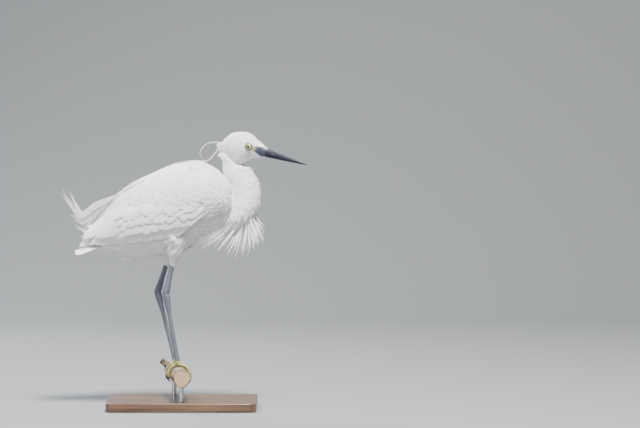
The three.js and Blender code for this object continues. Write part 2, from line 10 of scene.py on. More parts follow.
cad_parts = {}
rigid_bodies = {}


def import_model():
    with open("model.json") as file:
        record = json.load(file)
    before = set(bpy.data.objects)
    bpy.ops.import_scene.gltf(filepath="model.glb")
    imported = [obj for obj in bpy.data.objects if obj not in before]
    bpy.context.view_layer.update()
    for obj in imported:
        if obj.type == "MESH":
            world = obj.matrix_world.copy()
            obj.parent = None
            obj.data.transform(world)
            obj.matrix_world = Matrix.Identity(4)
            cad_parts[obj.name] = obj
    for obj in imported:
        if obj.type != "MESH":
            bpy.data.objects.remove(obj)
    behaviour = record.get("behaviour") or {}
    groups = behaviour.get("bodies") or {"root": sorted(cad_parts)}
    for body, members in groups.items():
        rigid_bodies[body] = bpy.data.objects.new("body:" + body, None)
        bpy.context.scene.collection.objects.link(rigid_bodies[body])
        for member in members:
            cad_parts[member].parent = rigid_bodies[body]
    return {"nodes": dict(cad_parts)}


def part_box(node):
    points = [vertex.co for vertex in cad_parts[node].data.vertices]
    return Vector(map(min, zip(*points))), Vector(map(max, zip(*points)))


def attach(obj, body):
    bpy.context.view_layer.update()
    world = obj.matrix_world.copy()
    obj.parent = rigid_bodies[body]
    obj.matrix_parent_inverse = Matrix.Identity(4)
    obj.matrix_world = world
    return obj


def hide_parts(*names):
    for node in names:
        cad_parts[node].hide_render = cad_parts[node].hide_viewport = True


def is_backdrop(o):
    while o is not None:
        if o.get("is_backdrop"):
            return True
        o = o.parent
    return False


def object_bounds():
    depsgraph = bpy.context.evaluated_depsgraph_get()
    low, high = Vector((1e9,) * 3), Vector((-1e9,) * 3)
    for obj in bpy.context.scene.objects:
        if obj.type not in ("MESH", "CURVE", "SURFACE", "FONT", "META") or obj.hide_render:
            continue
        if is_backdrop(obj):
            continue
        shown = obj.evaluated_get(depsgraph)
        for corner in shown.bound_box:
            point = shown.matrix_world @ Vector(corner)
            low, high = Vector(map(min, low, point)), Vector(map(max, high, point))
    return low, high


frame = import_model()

# A little egret in breeding plumage on a cut branch over a display base.
# Everything is in metres. The tables of the body are in millimetres, as a modeller measures it.

cadBox = [list(corner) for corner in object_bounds()]
mm = 0.001
sharpAngle = math.radians(50)
# side of each feather's patch in the baking map
bakePatch = 0.003
rng = np.random.default_rng(41)
print("frame loaded:", len(frame["nodes"]), "nodes")


# Node trees: a socket that takes + - * / like a number, and a tree that makes nodes

class Val:
    def __init__(self, tree, node, socket):
        self.tree, self.node, self.socket = tree, node, socket

    def out(self, name):
        return Val(self.tree, self.node, self.node.outputs[name])

    def math(self, operation, *others):
        return self.tree.math(operation, self, *others)

    def __add__(self, other):
        return self.tree.math("ADD", self, other)

    def __sub__(self, other):
        return self.tree.math("SUBTRACT", self, other)

    def __mul__(self, other):
        return self.tree.math("MULTIPLY", self, other)

    def __pow__(self, other):
        return self.tree.math("POWER", self, other)

    def __rsub__(self, other):
        return self.tree.math("SUBTRACT", other, self)

    def __rtruediv__(self, other):
        return self.tree.math("DIVIDE", other, self)

    __radd__ = __add__
    __rmul__ = __mul__


class Tree:
    def __init__(self, tree):
        self.tree = tree

    def node(self, kind, settings=None, sockets=None, out=0):
        made = self.tree.nodes.new(kind)
        for key, value in (settings or {}).items():
            if key == "stops":
                ramp = made.color_ramp
                while len(ramp.elements) < len(value):
                    ramp.elements.new(0.5)
                for element, (place, colour) in zip(ramp.elements, value):
                    element.position = place
                    element.color = (*colour, 1)
            else:
                setattr(made, key, value)
        for key, value in (sockets or {}).items():
            if isinstance(value, Val):
                self.tree.links.new(value.socket, made.inputs[key])
            else:
                colour = made.inputs[key].type == "RGBA" and len(value) == 3
                made.inputs[key].default_value = (*value, 1) if colour else value
        return Val(self, made, made.outputs[out]) if made.outputs else None

    def math(self, operation, *values):
        return self.node("ShaderNodeMath", {"operation": operation}, dict(enumerate(values)))

    def mix(self, factor, a, b):
        return self.node("ShaderNodeMix", {"data_type": "RGBA"}, {0: factor, 6: a, 7: b}, 2)

    def ramp(self, value, stops):
        return self.node("ShaderNodeValToRGB", {"stops": stops}, {0: value})

    # how far along the feather or tube, and how far across or round it
    def onVane(self):
        u, v, _ = self.split(self.node("ShaderNodeUVMap", {"uv_map": "vaneUV"}))
        return u, v

    def smooth(self, value, low, high):
        settings = {"interpolation_type": "SMOOTHSTEP"}
        return self.node("ShaderNodeMapRange", settings, {0: value, 1: low, 2: high})

    def noise(self, place, scale, detail=3.0, rough=0.5):
        sockets = {"Vector": place, "Scale": scale, "Detail": detail, "Roughness": rough}
        return self.node("ShaderNodeTexNoise", None, sockets)

    def split(self, vector):
        made = self.node("ShaderNodeSeparateXYZ", None, {0: vector})
        return [made, made.out("Y"), made.out("Z")]

    def join(self, x, y, z):
        return self.node("ShaderNodeCombineXYZ", None, {0: x, 1: y, 2: z})

    def scaled(self, vector, factors):
        return self.node("ShaderNodeVectorMath", {"operation": "MULTIPLY"}, {0: vector, 1: factors})


# A material from a function that returns what feeds the Principled shader
def makeMaterial(name, build, **fixed):
    material = bpy.data.materials.new(name)
    material.use_nodes = True
    material.node_tree.nodes.clear()
    tree = Tree(material.node_tree)
    place = tree.node("ShaderNodeTexCoord").out("Object")
    fed = build(tree, place)
    height = fed.pop("height", None)
    if height is not None:
        bump = {"Height": height, "Strength": fed.pop("strength"), "Distance": fed.pop("distance")}
        fed["Normal"] = tree.node("ShaderNodeBump", None, bump)
    shader = tree.node("ShaderNodeBsdfPrincipled", None, {**fixed, **fed})
    tree.node("ShaderNodeOutputMaterial", None, {"Surface": shader})
    return material


# Meshes

def addObject(name, data):
    made = bpy.data.objects.new(name, data)
    bpy.context.scene.collection.objects.link(made)
    return made


# One value, or a few, of every vertex, edge, corner or face
def readAll(items, name, each=1, kind=float):
    values = np.zeros(len(items) * each, kind)
    items.foreach_get(name, values)
    return values.reshape(-1, each) if each > 1 else values


def makePiece(name, points, faces, material, uv=None, smooth=True, closed=True):
    mesh = bpy.data.meshes.new(name)
    mesh.from_pydata([tuple(p) for p in points], [], [tuple(int(i) for i in f) for f in faces])
    if uv is not None:
        corners = readAll(mesh.loops, "vertex_index", kind=int)
        mesh.uv_layers.new(name="vaneUV").data.foreach_set("uv", np.asarray(uv, float)[corners].ravel())
    mesh.polygons.foreach_set("use_smooth", [smooth] * len(mesh.polygons))
    mesh.materials.append(material)
    if closed:
        turned = bmesh.new()
        turned.from_mesh(mesh)
        bmesh.ops.recalc_face_normals(turned, faces=turned.faces)
        turned.to_mesh(mesh)
        turned.free()
    mesh.set_sharp_from_angle(angle=sharpAngle)
    return addObject(name, mesh)


# Hides the CAD parts that a piece stands for, and hangs the piece on the root body
def settle(piece, slot, *standsFor):
    if standsFor:
        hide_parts(*standsFor)
    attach(piece, "root")


def nearestTree(points):
    tree = KDTree(len(points))
    for i, p in enumerate(points):
        tree.insert(p, i)
    tree.balance()
    return tree


# Collects the points and faces of many small solids for one mesh
class Heap:
    def __init__(self):
        self.points, self.faces, self.uvs, self.roots, self.count = [], [], [], [], 0

    def add(self, points, faces, uv=None, root=None):
        points = np.asarray(points, float)
        self.points.append(points)
        self.faces += [tuple(i + self.count for i in f) for f in faces]
        self.uvs.append(np.zeros((len(points), 2)) if uv is None else np.asarray(uv, float))
        self.roots += [root if root is not None else points[0]] * len(points)
        self.count += len(points)

    def piece(self, name, material, **more):
        points, uvs = np.concatenate(self.points), np.concatenate(self.uvs)
        return makePiece(name, points, self.faces, material, uvs, **more)


# Rings of points joined into a closed skin, with a fan at each end
def ringFaces(rings, sides):
    faces = []
    for k in range(rings - 1):
        a, b = k * sides, (k + 1) * sides
        faces += [(a + s, a + (s + 1) % sides, b + (s + 1) % sides, b + s) for s in range(sides)]
    faces.append(tuple(range(sides - 1, -1, -1)))
    faces.append(tuple((rings - 1) * sides + s for s in range(sides)))
    return faces


def unit(v):
    v = np.asarray(v, float)
    return v / np.maximum(np.linalg.norm(v, axis=-1, keepdims=True), 1e-12)


def lerp(a, b, t):
    return a + (b - a) * t


# Angles all the way round, the last not the same as the first
def allRound(count):
    return np.linspace(0, 2 * np.pi, count, endpoint=False)


# Arrays that differ in shape, side by side in a last axis of their own
def together(*parts):
    return np.stack(np.broadcast_arrays(*parts), -1)


def smoothStep(x, low, high):
    t = np.clip((np.asarray(x, float) - low) / (high - low), 0, 1)
    return t * t * (3 - 2 * t)


# A smooth curve from b to c, which a and d lead into and out of
def between(a, b, c, d, f):
    return b + 0.5 * f * (c - a + f * (2 * a - 5 * b + 4 * c - d + f * (3 * (b - c) + d - a)))


# A smooth curve through a few points, evenly spaced along its length
def smoothPath(points, count):
    points = np.asarray(points, float)
    ends = np.vstack([2 * points[0] - points[1], points, 2 * points[-1] - points[-2]])
    fine = []
    for i in range(1, len(ends) - 2):
        fine += [between(*ends[i - 1:i + 3], f) for f in np.linspace(0, 1, 24, endpoint=False)]
    fine = np.array(fine + [ends[-2]])
    far = np.concatenate([[0], np.cumsum(np.linalg.norm(np.diff(fine, axis=0), axis=1))])
    at = np.linspace(0, far[-1], count)
    return np.stack([np.interp(at, far, fine[:, k]) for k in range(3)], axis=1)


# Sideways and upward directions along a path, from a direction that is roughly up
def pathFrame(path, up):
    ahead = unit(np.gradient(path, axis=0))
    up = np.broadcast_to(np.asarray(up, float), path.shape)
    across = unit(np.cross(ahead, up))
    return across, unit(np.cross(across, ahead))


def tubeRings(path, radii, sides, up=(0, 0.3, 1)):
    across, over = pathFrame(path, up)
    turn = allRound(sides)
    radii = np.asarray(radii, float)
    if radii.ndim == 1:
        radii = np.repeat(radii[:, None], sides, axis=1)
    return (path[:, None] + radii[..., None] * (np.cos(turn)[None, :, None] * over[:, None]
            + np.sin(turn)[None, :, None] * across[:, None]))


# The body's shape, by stations, in millimetres

torsoStations = np.array([
    # x, top, bottom, half-width
    (90, 330, 304, 9), (80, 352, 286, 25), (62, 370, 274, 35), (35, 382, 260, 41), (5, 381.5, 246, 44),
    (-30, 368, 236, 43), (-65, 351, 231, 38), (-98, 328, 236, 29), (-122, 300, 245, 18), (-136, 283, 254, 9)])
neckStations = np.array([
    # back edge x, z, front edge x, z, half-width
    (56, 396, 95, 392, 13), (59.5, 385, 100, 378, 15), (60.5, 373, 110, 374.5, 19),
    (63.5, 361, 118, 362, 22.5), (68, 349.5, 122, 348, 25), (70, 337, 123.5, 333, 27),
    (67, 321, 122, 318, 29), (62, 303, 116, 304, 29), (60, 288, 106, 292, 24), (66, 280, 94, 284, 13)])
headStations = np.array([
    # along the bill from between the eyes, top, bottom, half-width
    (-51, -9, -17, 4), (-45, 1.5, -25, 9.5), (-34, 13.4, -31, 14), (-22, 18.2, -34, 16.2),
    (-10, 19.8, -32.5, 16.8), (0, 17.4, -24.5, 15.5), (8, 12.9, -18.6, 12.4), (16, 8.4, -14.2, 9.4),
    (22, 5.2, -11.8, 7.2), (27, 3.5, -10.3, 5.6)])
wingStations = np.array([
    # x, upper edge, lower edge, half-width behind the body, rise of the arm
    (77, 344, 318, 20, 2), (70, 356, 305, 30, 7), (50, 367, 296, 38, 9), (15, 373, 285, 43.5, 9.5),
    (-25, 361, 272, 43, 9), (-65, 341, 262, 38, 8), (-98, 312, 254, 28, 6), (-125, 280, 251, 19.5, 4),
    (-145, 264, 251, 12, 3), (-158, 256, 248, 8, 2)])
body = {"greatest": 0.56, "wingFree": -95, "freeAbove": 12, "freeBelow": 8, "headDrop": 14.5,
        "torsoDepth": 5.0, "neckDepth": 4.0, "headDepth": 2.0,
        "armDepth": 2.6, "armInside": -9.0, "armLeast": 1.6, "armEdge": 2, "armEnd": 0.78}


def catmull(values, i, f):
    last = len(values) - 1
    a, b, c, d = [values[np.clip(i + k, 0, last)] for k in (-1, 0, 1, 2)]
    f = f[..., None] if values.ndim > 1 else f
    return between(a, b, c, d, f)


# The sizes at t, from 0 at the first station to 1 at the last
def along(stations, t):
    t = np.asarray(t, float) * (len(stations) - 1)
    i = np.clip(np.floor(t).astype(int), 0, len(stations) - 2)
    return catmull(stations, i, t - i)


# The sizes at a place x of stations that run along X
def atX(stations, x):
    x = np.asarray(x, float)
    places = stations[:, 0]
    i = np.clip(np.searchsorted(-places, -x, side="right") - 1, 0, len(stations) - 2)
    f = np.clip((x - places[i]) / (places[i + 1] - places[i]), 0, 1)
    sizes = catmull(stations, i, f)
    sizes[..., 0] = x
    return sizes


# A point on an egg-shaped section, turned from its top, and lifted off it
def barrel(x, top, bottom, half, turn, lift=0.0):
    middle = lerp(bottom, top, body["greatest"])
    up = np.cos(turn) > 0
    rise = np.where(up, top - middle, middle - bottom)
    side = np.sign(np.sin(turn)) * np.abs(np.sin(turn)) ** np.where(up, 0.9, 1.1)
    out = unit(together(0 * turn, np.sin(turn) * rise, np.cos(turn) * half))
    place = together(x + 0 * turn, half * side, middle + rise * np.cos(turn))
    return place + out * np.asarray(lift + 0 * turn)[..., None]


# The turn at which such a section has the height z
def turnAt(top, bottom, z):
    middle = lerp(bottom, top, body["greatest"])
    rise = np.where(z > middle, top - middle, middle - bottom)
    return np.arccos(np.clip((z - middle) / rise, -1, 1))


# The head's own frame, from the two eyes of the CAD frame
eyeCentres = {side: sum(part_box("eye_" + side), Vector()) / 2 for side in ("right", "left")}
headAt = (eyeCentres["right"] + eyeCentres["left"]) / 2
headLeft = (eyeCentres["left"] - eyeCentres["right"]).normalized()
headTurn = math.atan2(-headLeft.x, headLeft.y)
headMatrix = np.array(Matrix.Translation(headAt / mm) @ Matrix.Rotation(headTurn, 4, "Z")
                      @ Matrix.Rotation(math.radians(body["headDrop"]), 4, "Y"))


def onHead(points):
    points = np.asarray(points, float)
    return points @ headMatrix[:3, :3].T + headMatrix[:3, 3]


def overTorso(x, turn, lift):
    x, turn = np.broadcast_arrays(np.asarray(x, float), np.asarray(turn, float))
    s = atX(torsoStations, x)
    return barrel(x, s[..., 1], s[..., 2], s[..., 3], turn, lift)


# A point on the body's side at the height z, or behind the body on the wing's own section
def overWing(side, x, z, lift):
    x, z = np.broadcast_arrays(np.asarray(x, float), np.asarray(z, float))
    wing, torso = atX(wingStations, x), atX(torsoStations, np.maximum(x, torsoStations[-1, 0]))
    free = x < body["wingFree"]
    top = np.where(free, wing[..., 1] + body["freeAbove"], torso[..., 1])
    bottom = np.where(free, wing[..., 2] - body["freeBelow"], torso[..., 2])
    half = np.where(free, wing[..., 3], torso[..., 3])
    place = barrel(x, top, bottom, half, turnAt(top, bottom, z), lift)
    place[..., 1] *= side
    return place


def neckPoint(t, turn, lift=0.0):
    t, turn = np.broadcast_arrays(np.asarray(t, float), np.asarray(turn, float))
    s = along(neckStations, t)
    back, front = s[..., 0:2], s[..., 2:4]
    middle, reach = (back + front) / 2, front - back
    depth = np.linalg.norm(reach, axis=-1) / 2
    forward = reach / (2 * depth[..., None])
    flat = middle + forward * ((depth + lift) * np.cos(turn))[..., None]
    return np.stack([flat[..., 0], (s[..., 4] + lift) * np.sin(turn), flat[..., 1]], -1)


# Perch and legs, at the places that they have in the CAD
perch = {"radius": 13.5, "length": 150.0, "turn": 9.0, "middle": (-7.0, 0.0, 52.5), "hold": 34.0,
         "uneven": 0.9, "sag": 2.5, "stubAlong": 62.0, "stubLength": 13.0}
legs = {
    "right": {"side": -1, "hip": (-6, -22, 262), "ankle": (-24.5, -19, 180), "footAlong": -16},
    "left": {"side": 1, "hip": (-14, 22, 258), "ankle": (-39, 20, 179.5), "footAlong": 16},
}
legSizes = {"tibia": 3.9, "tarsus": 3.2, "ankle": 5.8, "thigh": 36.0, "thighRadii": (13.5, 10.5, 5.2),
            "sole": 4.2, "soleHigh": 5.5, "soleRadii": (3.5, 4.3, 4.9, 4.6, 3.6), "toe": 2.9, "toeTip": 2.0,
            "claw": 11.0, "clawRadii": (1.55, 1.5, 1.15, 0.75, 0.08)}


# A point about the perch: how far along it, how far round it from the top, and at what radius
def perchPoint(spot, turn, radius):
    spot, turn, radius = np.broadcast_arrays(*[np.asarray(v, float) for v in (spot, turn, radius)])
    beyondFeet = np.maximum(np.abs(spot) - perch["hold"], 0) / (perch["length"] / 2 - perch["hold"])
    uneven = perch["uneven"] * beyondFeet * (np.sin(3 * turn + spot / 9) + np.sin(spot / 7))
    sag = perch["sag"] * beyondFeet ** 2 * np.sign(spot)
    x = (radius + uneven) * np.sin(turn) + sag
    z = (radius + uneven) * np.cos(turn)
    c, s = math.cos(math.radians(perch["turn"])), math.sin(math.radians(perch["turn"]))
    return np.stack([x * c - spot * s, x * s + spot * c, z], -1) + np.array(perch["middle"])


def thighEnd(leg):
    hip, ankle = np.array(leg["hip"], float), np.array(leg["ankle"], float)
    return hip + unit(ankle - hip) * legSizes["thigh"]


# Skin: one closed mesh of head, neck, torso, arms and thighs, inside the CAD solids by the coat's depth.
# Each loft also says which way the feathers lie and how long they are.

skin = {"rings": 60, "sides": 40, "voxel": 1.5, "smoothing": 4, "near": 5, "lieRounds": 12,
        "thighTurnsBack": (240, 256), "backward": (-0.92, 0, -0.38)}


def loftPoints(region):
    rows = np.linspace(0, 1, skin["rings"])[:, None]
    turns = allRound(skin["sides"])
    t, turn = rows + 0 * turns, turns + 0 * rows
    if region == "torso":
        s = along(torsoStations, t)
        x = s[..., 0] - (1 - 2 * t) * body["torsoDepth"]
        return barrel(x, s[..., 1], s[..., 2], s[..., 3], turn, -body["torsoDepth"])
    if region == "neck":
        return neckPoint(t, turn, -body["neckDepth"])
    if region == "head":
        s = along(headStations, t)
        depth = body["headDepth"] * (1 - smoothStep(s[..., 0], 4, 16))
        x = s[..., 0] + (0.5 - t) * 2 * depth
        return onHead(barrel(x, s[..., 1], s[..., 2], s[..., 3], turn, -depth))
    side = -1 if region.endswith("Right") else 1
    if region.startswith("arm"):
        # the outer half of each ring lies over the body, the inner half inside it
        s = along(wingStations, t * body["armEnd"])
        v = np.where(turn < np.pi, turn / np.pi, 2 - turn / np.pi)
        rise = s[..., 4] * np.sin(np.pi * v ** 0.75) ** 0.6
        thick = body["armLeast"] + rise * (1 - t ** 3) - body["armDepth"]
        lift = np.where(turn < np.pi, thick, body["armInside"])
        high, low = s[..., 1] - body["armEdge"], s[..., 2] + body["armEdge"]
        return overWing(side, s[..., 0], lerp(high, low, v), lift)
    leg = legs["right" if side < 0 else "left"]
    hip, end = np.array(leg["hip"], float), thighEnd(leg)
    path = [hip + (hip - end) * 0.25, lerp(hip, end, 0.5), end + unit(end - hip) * 3]
    radii = np.interp(rows[:, 0], [0, 0.45, 0.85, 1], [*legSizes["thighRadii"], legSizes["tibia"] - 0.4])
    return tubeRings(smoothPath(path, skin["rings"]), radii, skin["sides"])


regions = ["torso", "neck", "head", "armRight", "armLeft", "thighRight", "thighLeft"]
featherLong = {
    # feather length in millimetres along each loft, from its first ring to its last
    "torso": ([0, 0.2, 0.5, 1], [13, 17, 20, 22]), "neck": ([0, 0.1, 0.4, 0.8, 1], [6, 8, 11, 16, 22]),
    "head": ([0, 0.35, 0.62, 0.8, 1], [11, 8.5, 5.2, 3.2, 2.2]),
    "arm": ([0, 0.3, 1], [10, 13, 17]), "thigh": ([0, 0.6, 1], [15, 11, 6]),
}


def makeSkin():
    heap, hints = Heap(), []
    for region in regions:
        grid = loftPoints(region)
        rows, sides = grid.shape[:2]
        heap.add(grid.reshape(-1, 3) * mm, ringFaces(rows, sides))
        lie = unit(np.gradient(grid, axis=0)) * (-1 if region == "head" else 1)
        key = region.replace("Right", "").replace("Left", "")
        long = np.interp(np.linspace(0, 1, rows), *featherLong[key])[:, None] + np.zeros((rows, sides))
        label = np.full((rows, sides), regions.index(region))
        hints.append(np.concatenate([grid, lie, long[..., None], label[..., None]], -1).reshape(-1, 8))
    rough = heap.piece("roughSkin", None)
    for kind, values in (("REMESH", {"mode": "VOXEL", "voxel_size": skin["voxel"] * mm}),
                         ("SMOOTH", {"factor": 0.6, "iterations": skin["smoothing"]})):
        modifier = rough.modifiers.new(kind, kind)
        for key, value in values.items():
            setattr(modifier, key, value)
    mesh = bpy.data.meshes.new_from_object(rough.evaluated_get(bpy.context.evaluated_depsgraph_get()))
    bpy.data.objects.remove(rough)
    return mesh, np.concatenate(hints)


# Gives every point of the skin its region, the lie of its feathers and their length
def readHints(mesh, hints):
    tree = nearestTree(hints[:, :3])
    count = len(mesh.vertices)
    points = readAll(mesh.vertices, "co", 3) / mm
    lie, long, label = np.zeros((count, 3)), np.zeros(count), np.zeros(count, int)
    for i, p in enumerate(points):
        near = [hints[j] for _, j, _ in tree.find_n(p, skin["near"])]
        lie[i] = sum(row[3:6] for row in near)
        long[i] = sum(row[6] for row in near) / len(near)
        label[i] = int(near[0][7])
    thigh = np.isin(label, [regions.index("thighRight"), regions.index("thighLeft")])
    toBody = (thigh * smoothStep(points[:, 2], *skin["thighTurnsBack"]))[:, None]
    lie = lerp(lie, np.array(skin["backward"]), toBody)
    a, b = readAll(mesh.edges, "vertices", 2, int).T
    for _ in range(skin["lieRounds"]):
        spread, size = lie.copy(), long.copy()
        share = np.ones(count)
        for p, q in ((a, b), (b, a)):
            np.add.at(spread, p, lie[q])
            np.add.at(size, p, long[q])
            np.add.at(share, p, 1)
        lie, long = unit(spread), size / share
    return points, lie, long, label


def storeAttribute(mesh, name, kind, values):
    attribute = mesh.attributes.new(name, kind, "POINT")
    field = "vector" if kind == "FLOAT_VECTOR" else "value"
    attribute.data.foreach_set(field, np.asarray(values, float).ravel())


# Unwraps the skin region by region, each in a cell of its own: along it in one way and round it in the other
def unwrapSkin(mesh, points, label):
    corner = readAll(mesh.loops, "vertex_index", kind=int)
    starts, totals = (readAll(mesh.polygons, name, kind=int) for name in ("loop_start", "loop_total"))
    faceOf = np.repeat(np.arange(len(totals)), totals)
    place, which = points[corner], label[corner[starts]][faceOf]
    axes = {"head": (onHead([[0, 0, 0]])[0], headMatrix[:3, 0]), "neck": ((92, 0, 335), (0, 0, -1))}
    uv = np.zeros((len(corner), 2))
    for n, region in enumerate(regions):
        here = which == n
        if not here.any():
            continue
        centre, axis = axes.get(region, (points[label == n].mean(0), (1, 0, 0)))
        if region.startswith("thigh"):
            axis = (0, 0, -1)
        axis = unit(axis)
        side = unit(np.cross(axis, (0.1, 0.9, 0.3)))
        over = np.cross(axis, side)
        offset = place[here] - centre
        ahead = offset @ axis
        around = np.arctan2(offset @ over, offset @ side) / (2 * np.pi) + 0.5
        # a face that crosses the seam stays whole
        first = np.zeros(len(corner))
        first[here] = around
        first = first[starts][faceOf][here]
        around += np.where(around - first > 0.5, -1, np.where(first - around > 0.5, 1, 0))
        uv[here, 0] = (n % 3) / 3 + 0.02 + 0.28 * (ahead - ahead.min()) / max(np.ptp(ahead), 1e-6)
        uv[here, 1] = (n // 3) / 3 + 0.03 + 0.27 * np.clip(around, 0, 1)
    mesh.uv_layers.new(name="skinUV").data.foreach_set("uv", uv.ravel())
    return uv, corner


# Materials

# Fine barbs slant away from the shaft, and the white varies softly over the body
def plumageLook(barbs, warm=0.0):
    def build(t, place):
        u, v = t.onVane()
        across = (v - 0.5).math("ABSOLUTE")
        stripe = ((u * barbs - across * barbs * 0.55) * 6.2832).math("SINE")
        split, soft = t.noise(place, 900, 2.0), t.noise(place, 45, 3.0, 0.6)
        white = (0.93, 0.93 - 0.01 * warm, 0.925 - 0.04 * warm)
        colour = t.mix(soft * 0.7 + across * 0.35 - 0.1, white, (0.86, 0.872, 0.885))
        shaft = t.smooth(across, 0.0, 0.06)
        return {"Base Color": t.mix(shaft, (0.93, 0.92, 0.88), colour), "Roughness": soft * 0.2 + 0.55,
                "height": stripe * 0.35 + split * 0.5 - shaft * 0.4, "strength": 0.22, "distance": 0.0003}
    return build


feather = {"Sheen Weight": 0.15, "Sheen Roughness": 0.5, "Specular IOR Level": 0.25,
           "Subsurface Weight": 0.35, "Subsurface Scale": 0.005, "Subsurface Radius": (1.0, 0.97, 0.94)}
coatMaterial = makeMaterial("plumageCoat", plumageLook(14), **feather)
vaneMaterial = makeMaterial("plumageVane", plumageLook(110), **feather)
plumeMaterial = makeMaterial("plumagePlume", plumageLook(5, warm=0.3), **feather)


# White under the feathers, with the lores slate-blue, and olive yellow next to the eye
def skinLook(t, place):
    spots = t.noise(place, 1100, 4.0, 0.6)
    bare = t.node("ShaderNodeAttribute", {"attribute_name": "bareSkin"}, None, 2)
    fromEye = t.node("ShaderNodeAttribute", {"attribute_name": "fromEye"}, None, 2)
    slate = t.mix(spots, (0.016, 0.020, 0.038), (0.045, 0.05, 0.08))
    olive = t.mix(spots, (0.25, 0.26, 0.14), (0.46, 0.45, 0.24))
    lore = t.mix(t.smooth(fromEye + spots * 5, 7.5, 17.0), olive, slate)
    return {"Base Color": t.mix(bare, (0.86, 0.87, 0.87), lore), "Roughness": 0.75 - bare * 0.3,
            "height": spots, "strength": 0.4, "distance": 0.0004}


skinMaterial = makeMaterial("downySkin", skinLook)
print("materials ready")


# Coat: tufts of contour feathers set on the skin by Geometry Nodes

# heights, gaps and widths of a tuft that is one long
tuftForm = {"high": 0.035, "shaft": 0.035, "thick": 0.02, "gap": 0.08, "stagger": 0.05, "shorter": 0.13,
            "tipWide": 0.66, "notchWide": 0.85}


# One tuft: a thin closed vane with a raised shaft and a tip split into strands
def makeTuft(name, wide, strands, bend, rows, notch):
    points, uv = [], []

    def rise(x):
        return tuftForm["high"] + bend * (np.sin(np.pi * np.clip(x, 0, 1) * 0.62) - 1.25 * x ** 2)

    def put(x, y, above=0.0):
        points.append((x, y, rise(x) + above))
        uv.append((x, 0.5 + 0.5 * y / wide))
        return len(points) - 1

    spots = np.linspace(0, notch - tuftForm["gap"], rows)
    width = wide * np.interp(spots, [0, 0.2, 0.5, 0.72], [0.3, 0.8, 1, 0.92])
    for x, w in zip(spots, width):
        put(x, -w)
        put(x, 0, tuftForm["shaft"])
        put(x, w)
    top = len(points)
    for x in spots:
        put(x, 0, -tuftForm["thick"])
    faces = []
    for k in range(rows - 1):
        a, b, m, n = 3 * k, 3 * k + 3, top + k, top + k + 1
        faces += [(a, a + 1, b + 1, b), (a + 1, a + 2, b + 2, b + 1), (a, b, n, m), (a + 2, m, n, b + 2)]
    faces += [(0, top, 1), (1, top, 2)]
    edge, last = 3 * (rows - 1), top + rows - 1
    ends = np.linspace(-1, 1, strands)
    middle = (strands - 1) / 2
    tips, notches = [], [edge]
    for k, end in enumerate(ends):
        reach = 1 - tuftForm["shorter"] * abs(k - middle) / max(middle, 1) - tuftForm["stagger"] * (k % 2)
        tips.append(put(reach, end * wide * tuftForm["tipWide"]))
    for k in range(strands - 1):
        across = (ends[k] + ends[k + 1]) / 2 * wide * tuftForm["notchWide"]
        notches.append(put(notch + tuftForm["stagger"] * (k % 2), across, tuftForm["thick"]))
    notches.append(edge + 2)
    for tip, a, b in zip(tips, notches, notches[1:]):
        under = len(points)
        centre = (np.array(points[a]) + points[b] + points[tip]) / 3
        points.append(tuple(centre - [0, 0, tuftForm["thick"]]))
        uv.append(uv[tip])
        faces += [(a, edge + 1, b), (a, b, tip), (last, under, a),
                  (last, b, under), (under, tip, a), (under, b, tip)]
    return makePiece(name, points, faces, coatMaterial, uv)


# A collection of shapes for the trees to choose from
def shapeStore(name, shapes):
    store = bpy.data.collections.new(name)
    bpy.context.scene.collection.children.link(store)
    for shape in shapes:
        bpy.context.scene.collection.objects.unlink(shape)
        store.objects.link(shape)
    return store


tufts = {
    # name: width for a length of 1, strands, bend, rows, where the strands begin
    "tuftWide0": (0.20, 5, 0.05, 4, 0.62), "tuftWide1": (0.23, 6, 0.07, 4, 0.62),
    "tuftWide2": (0.17, 5, 0.04, 4, 0.62),
    "tuftFine0": (0.14, 3, 0.05, 3, 0.55), "tuftFine1": (0.17, 4, 0.035, 3, 0.55),
}
madeTufts = {name: makeTuft(name, *tuft) for name, tuft in tufts.items()}
tuftShapes = shapeStore("tuftShapes", [made for name, made in madeTufts.items() if "Wide" in name])
fineShapes = shapeStore("fineShapes", [made for name, made in madeTufts.items() if "Fine" in name])


# Geometry Nodes: what every tree starts with, ends with and sets on points

def groupTree(name, inputs):
    tree = bpy.data.node_groups.new(name, "GeometryNodeTree")
    tree.interface.new_socket("Geometry", in_out="INPUT", socket_type="NodeSocketGeometry")
    for label, kind in inputs.items():
        tree.interface.new_socket(label, in_out="INPUT", socket_type="NodeSocket" + kind)
    tree.interface.new_socket("Geometry", in_out="OUTPUT", socket_type="NodeSocketGeometry")
    t = Tree(tree)
    return t, t.node("NodeGroupInput")


def endTree(t, geometry, material):
    done = t.node("GeometryNodeSetMaterial", None, {"Geometry": geometry, "Material": material})
    t.node("NodeGroupOutput", None, {"Geometry": done})
    return t.tree


def named(t, name, kind="FLOAT"):
    return t.node("GeometryNodeInputNamedAttribute", {"data_type": kind}, {"Name": name})


def randomBetween(t, low, high, seed):
    return t.node("FunctionNodeRandomValue", {"data_type": "FLOAT"}, {2: low, 3: high, "Seed": seed}, 1)


# Sets shapes on points, each turned a little further about its own axes
def setShapes(t, shapes, spots, rotation, nudge, size, **more):
    euler = t.node("FunctionNodeEulerToRotation", None, {0: nudge})
    turned = t.node("FunctionNodeRotateRotation", {"rotation_space": "LOCAL"}, {0: rotation, 1: euler})
    choice = t.node("GeometryNodeCollectionInfo", None,
                    {"Collection": shapes, "Separate Children": True, "Reset Children": True})
    return t.node("GeometryNodeInstanceOnPoints", None,
                  {"Points": spots, "Instance": choice, "Pick Instance": True, "Rotation": turned,
                   "Scale": size, **more})


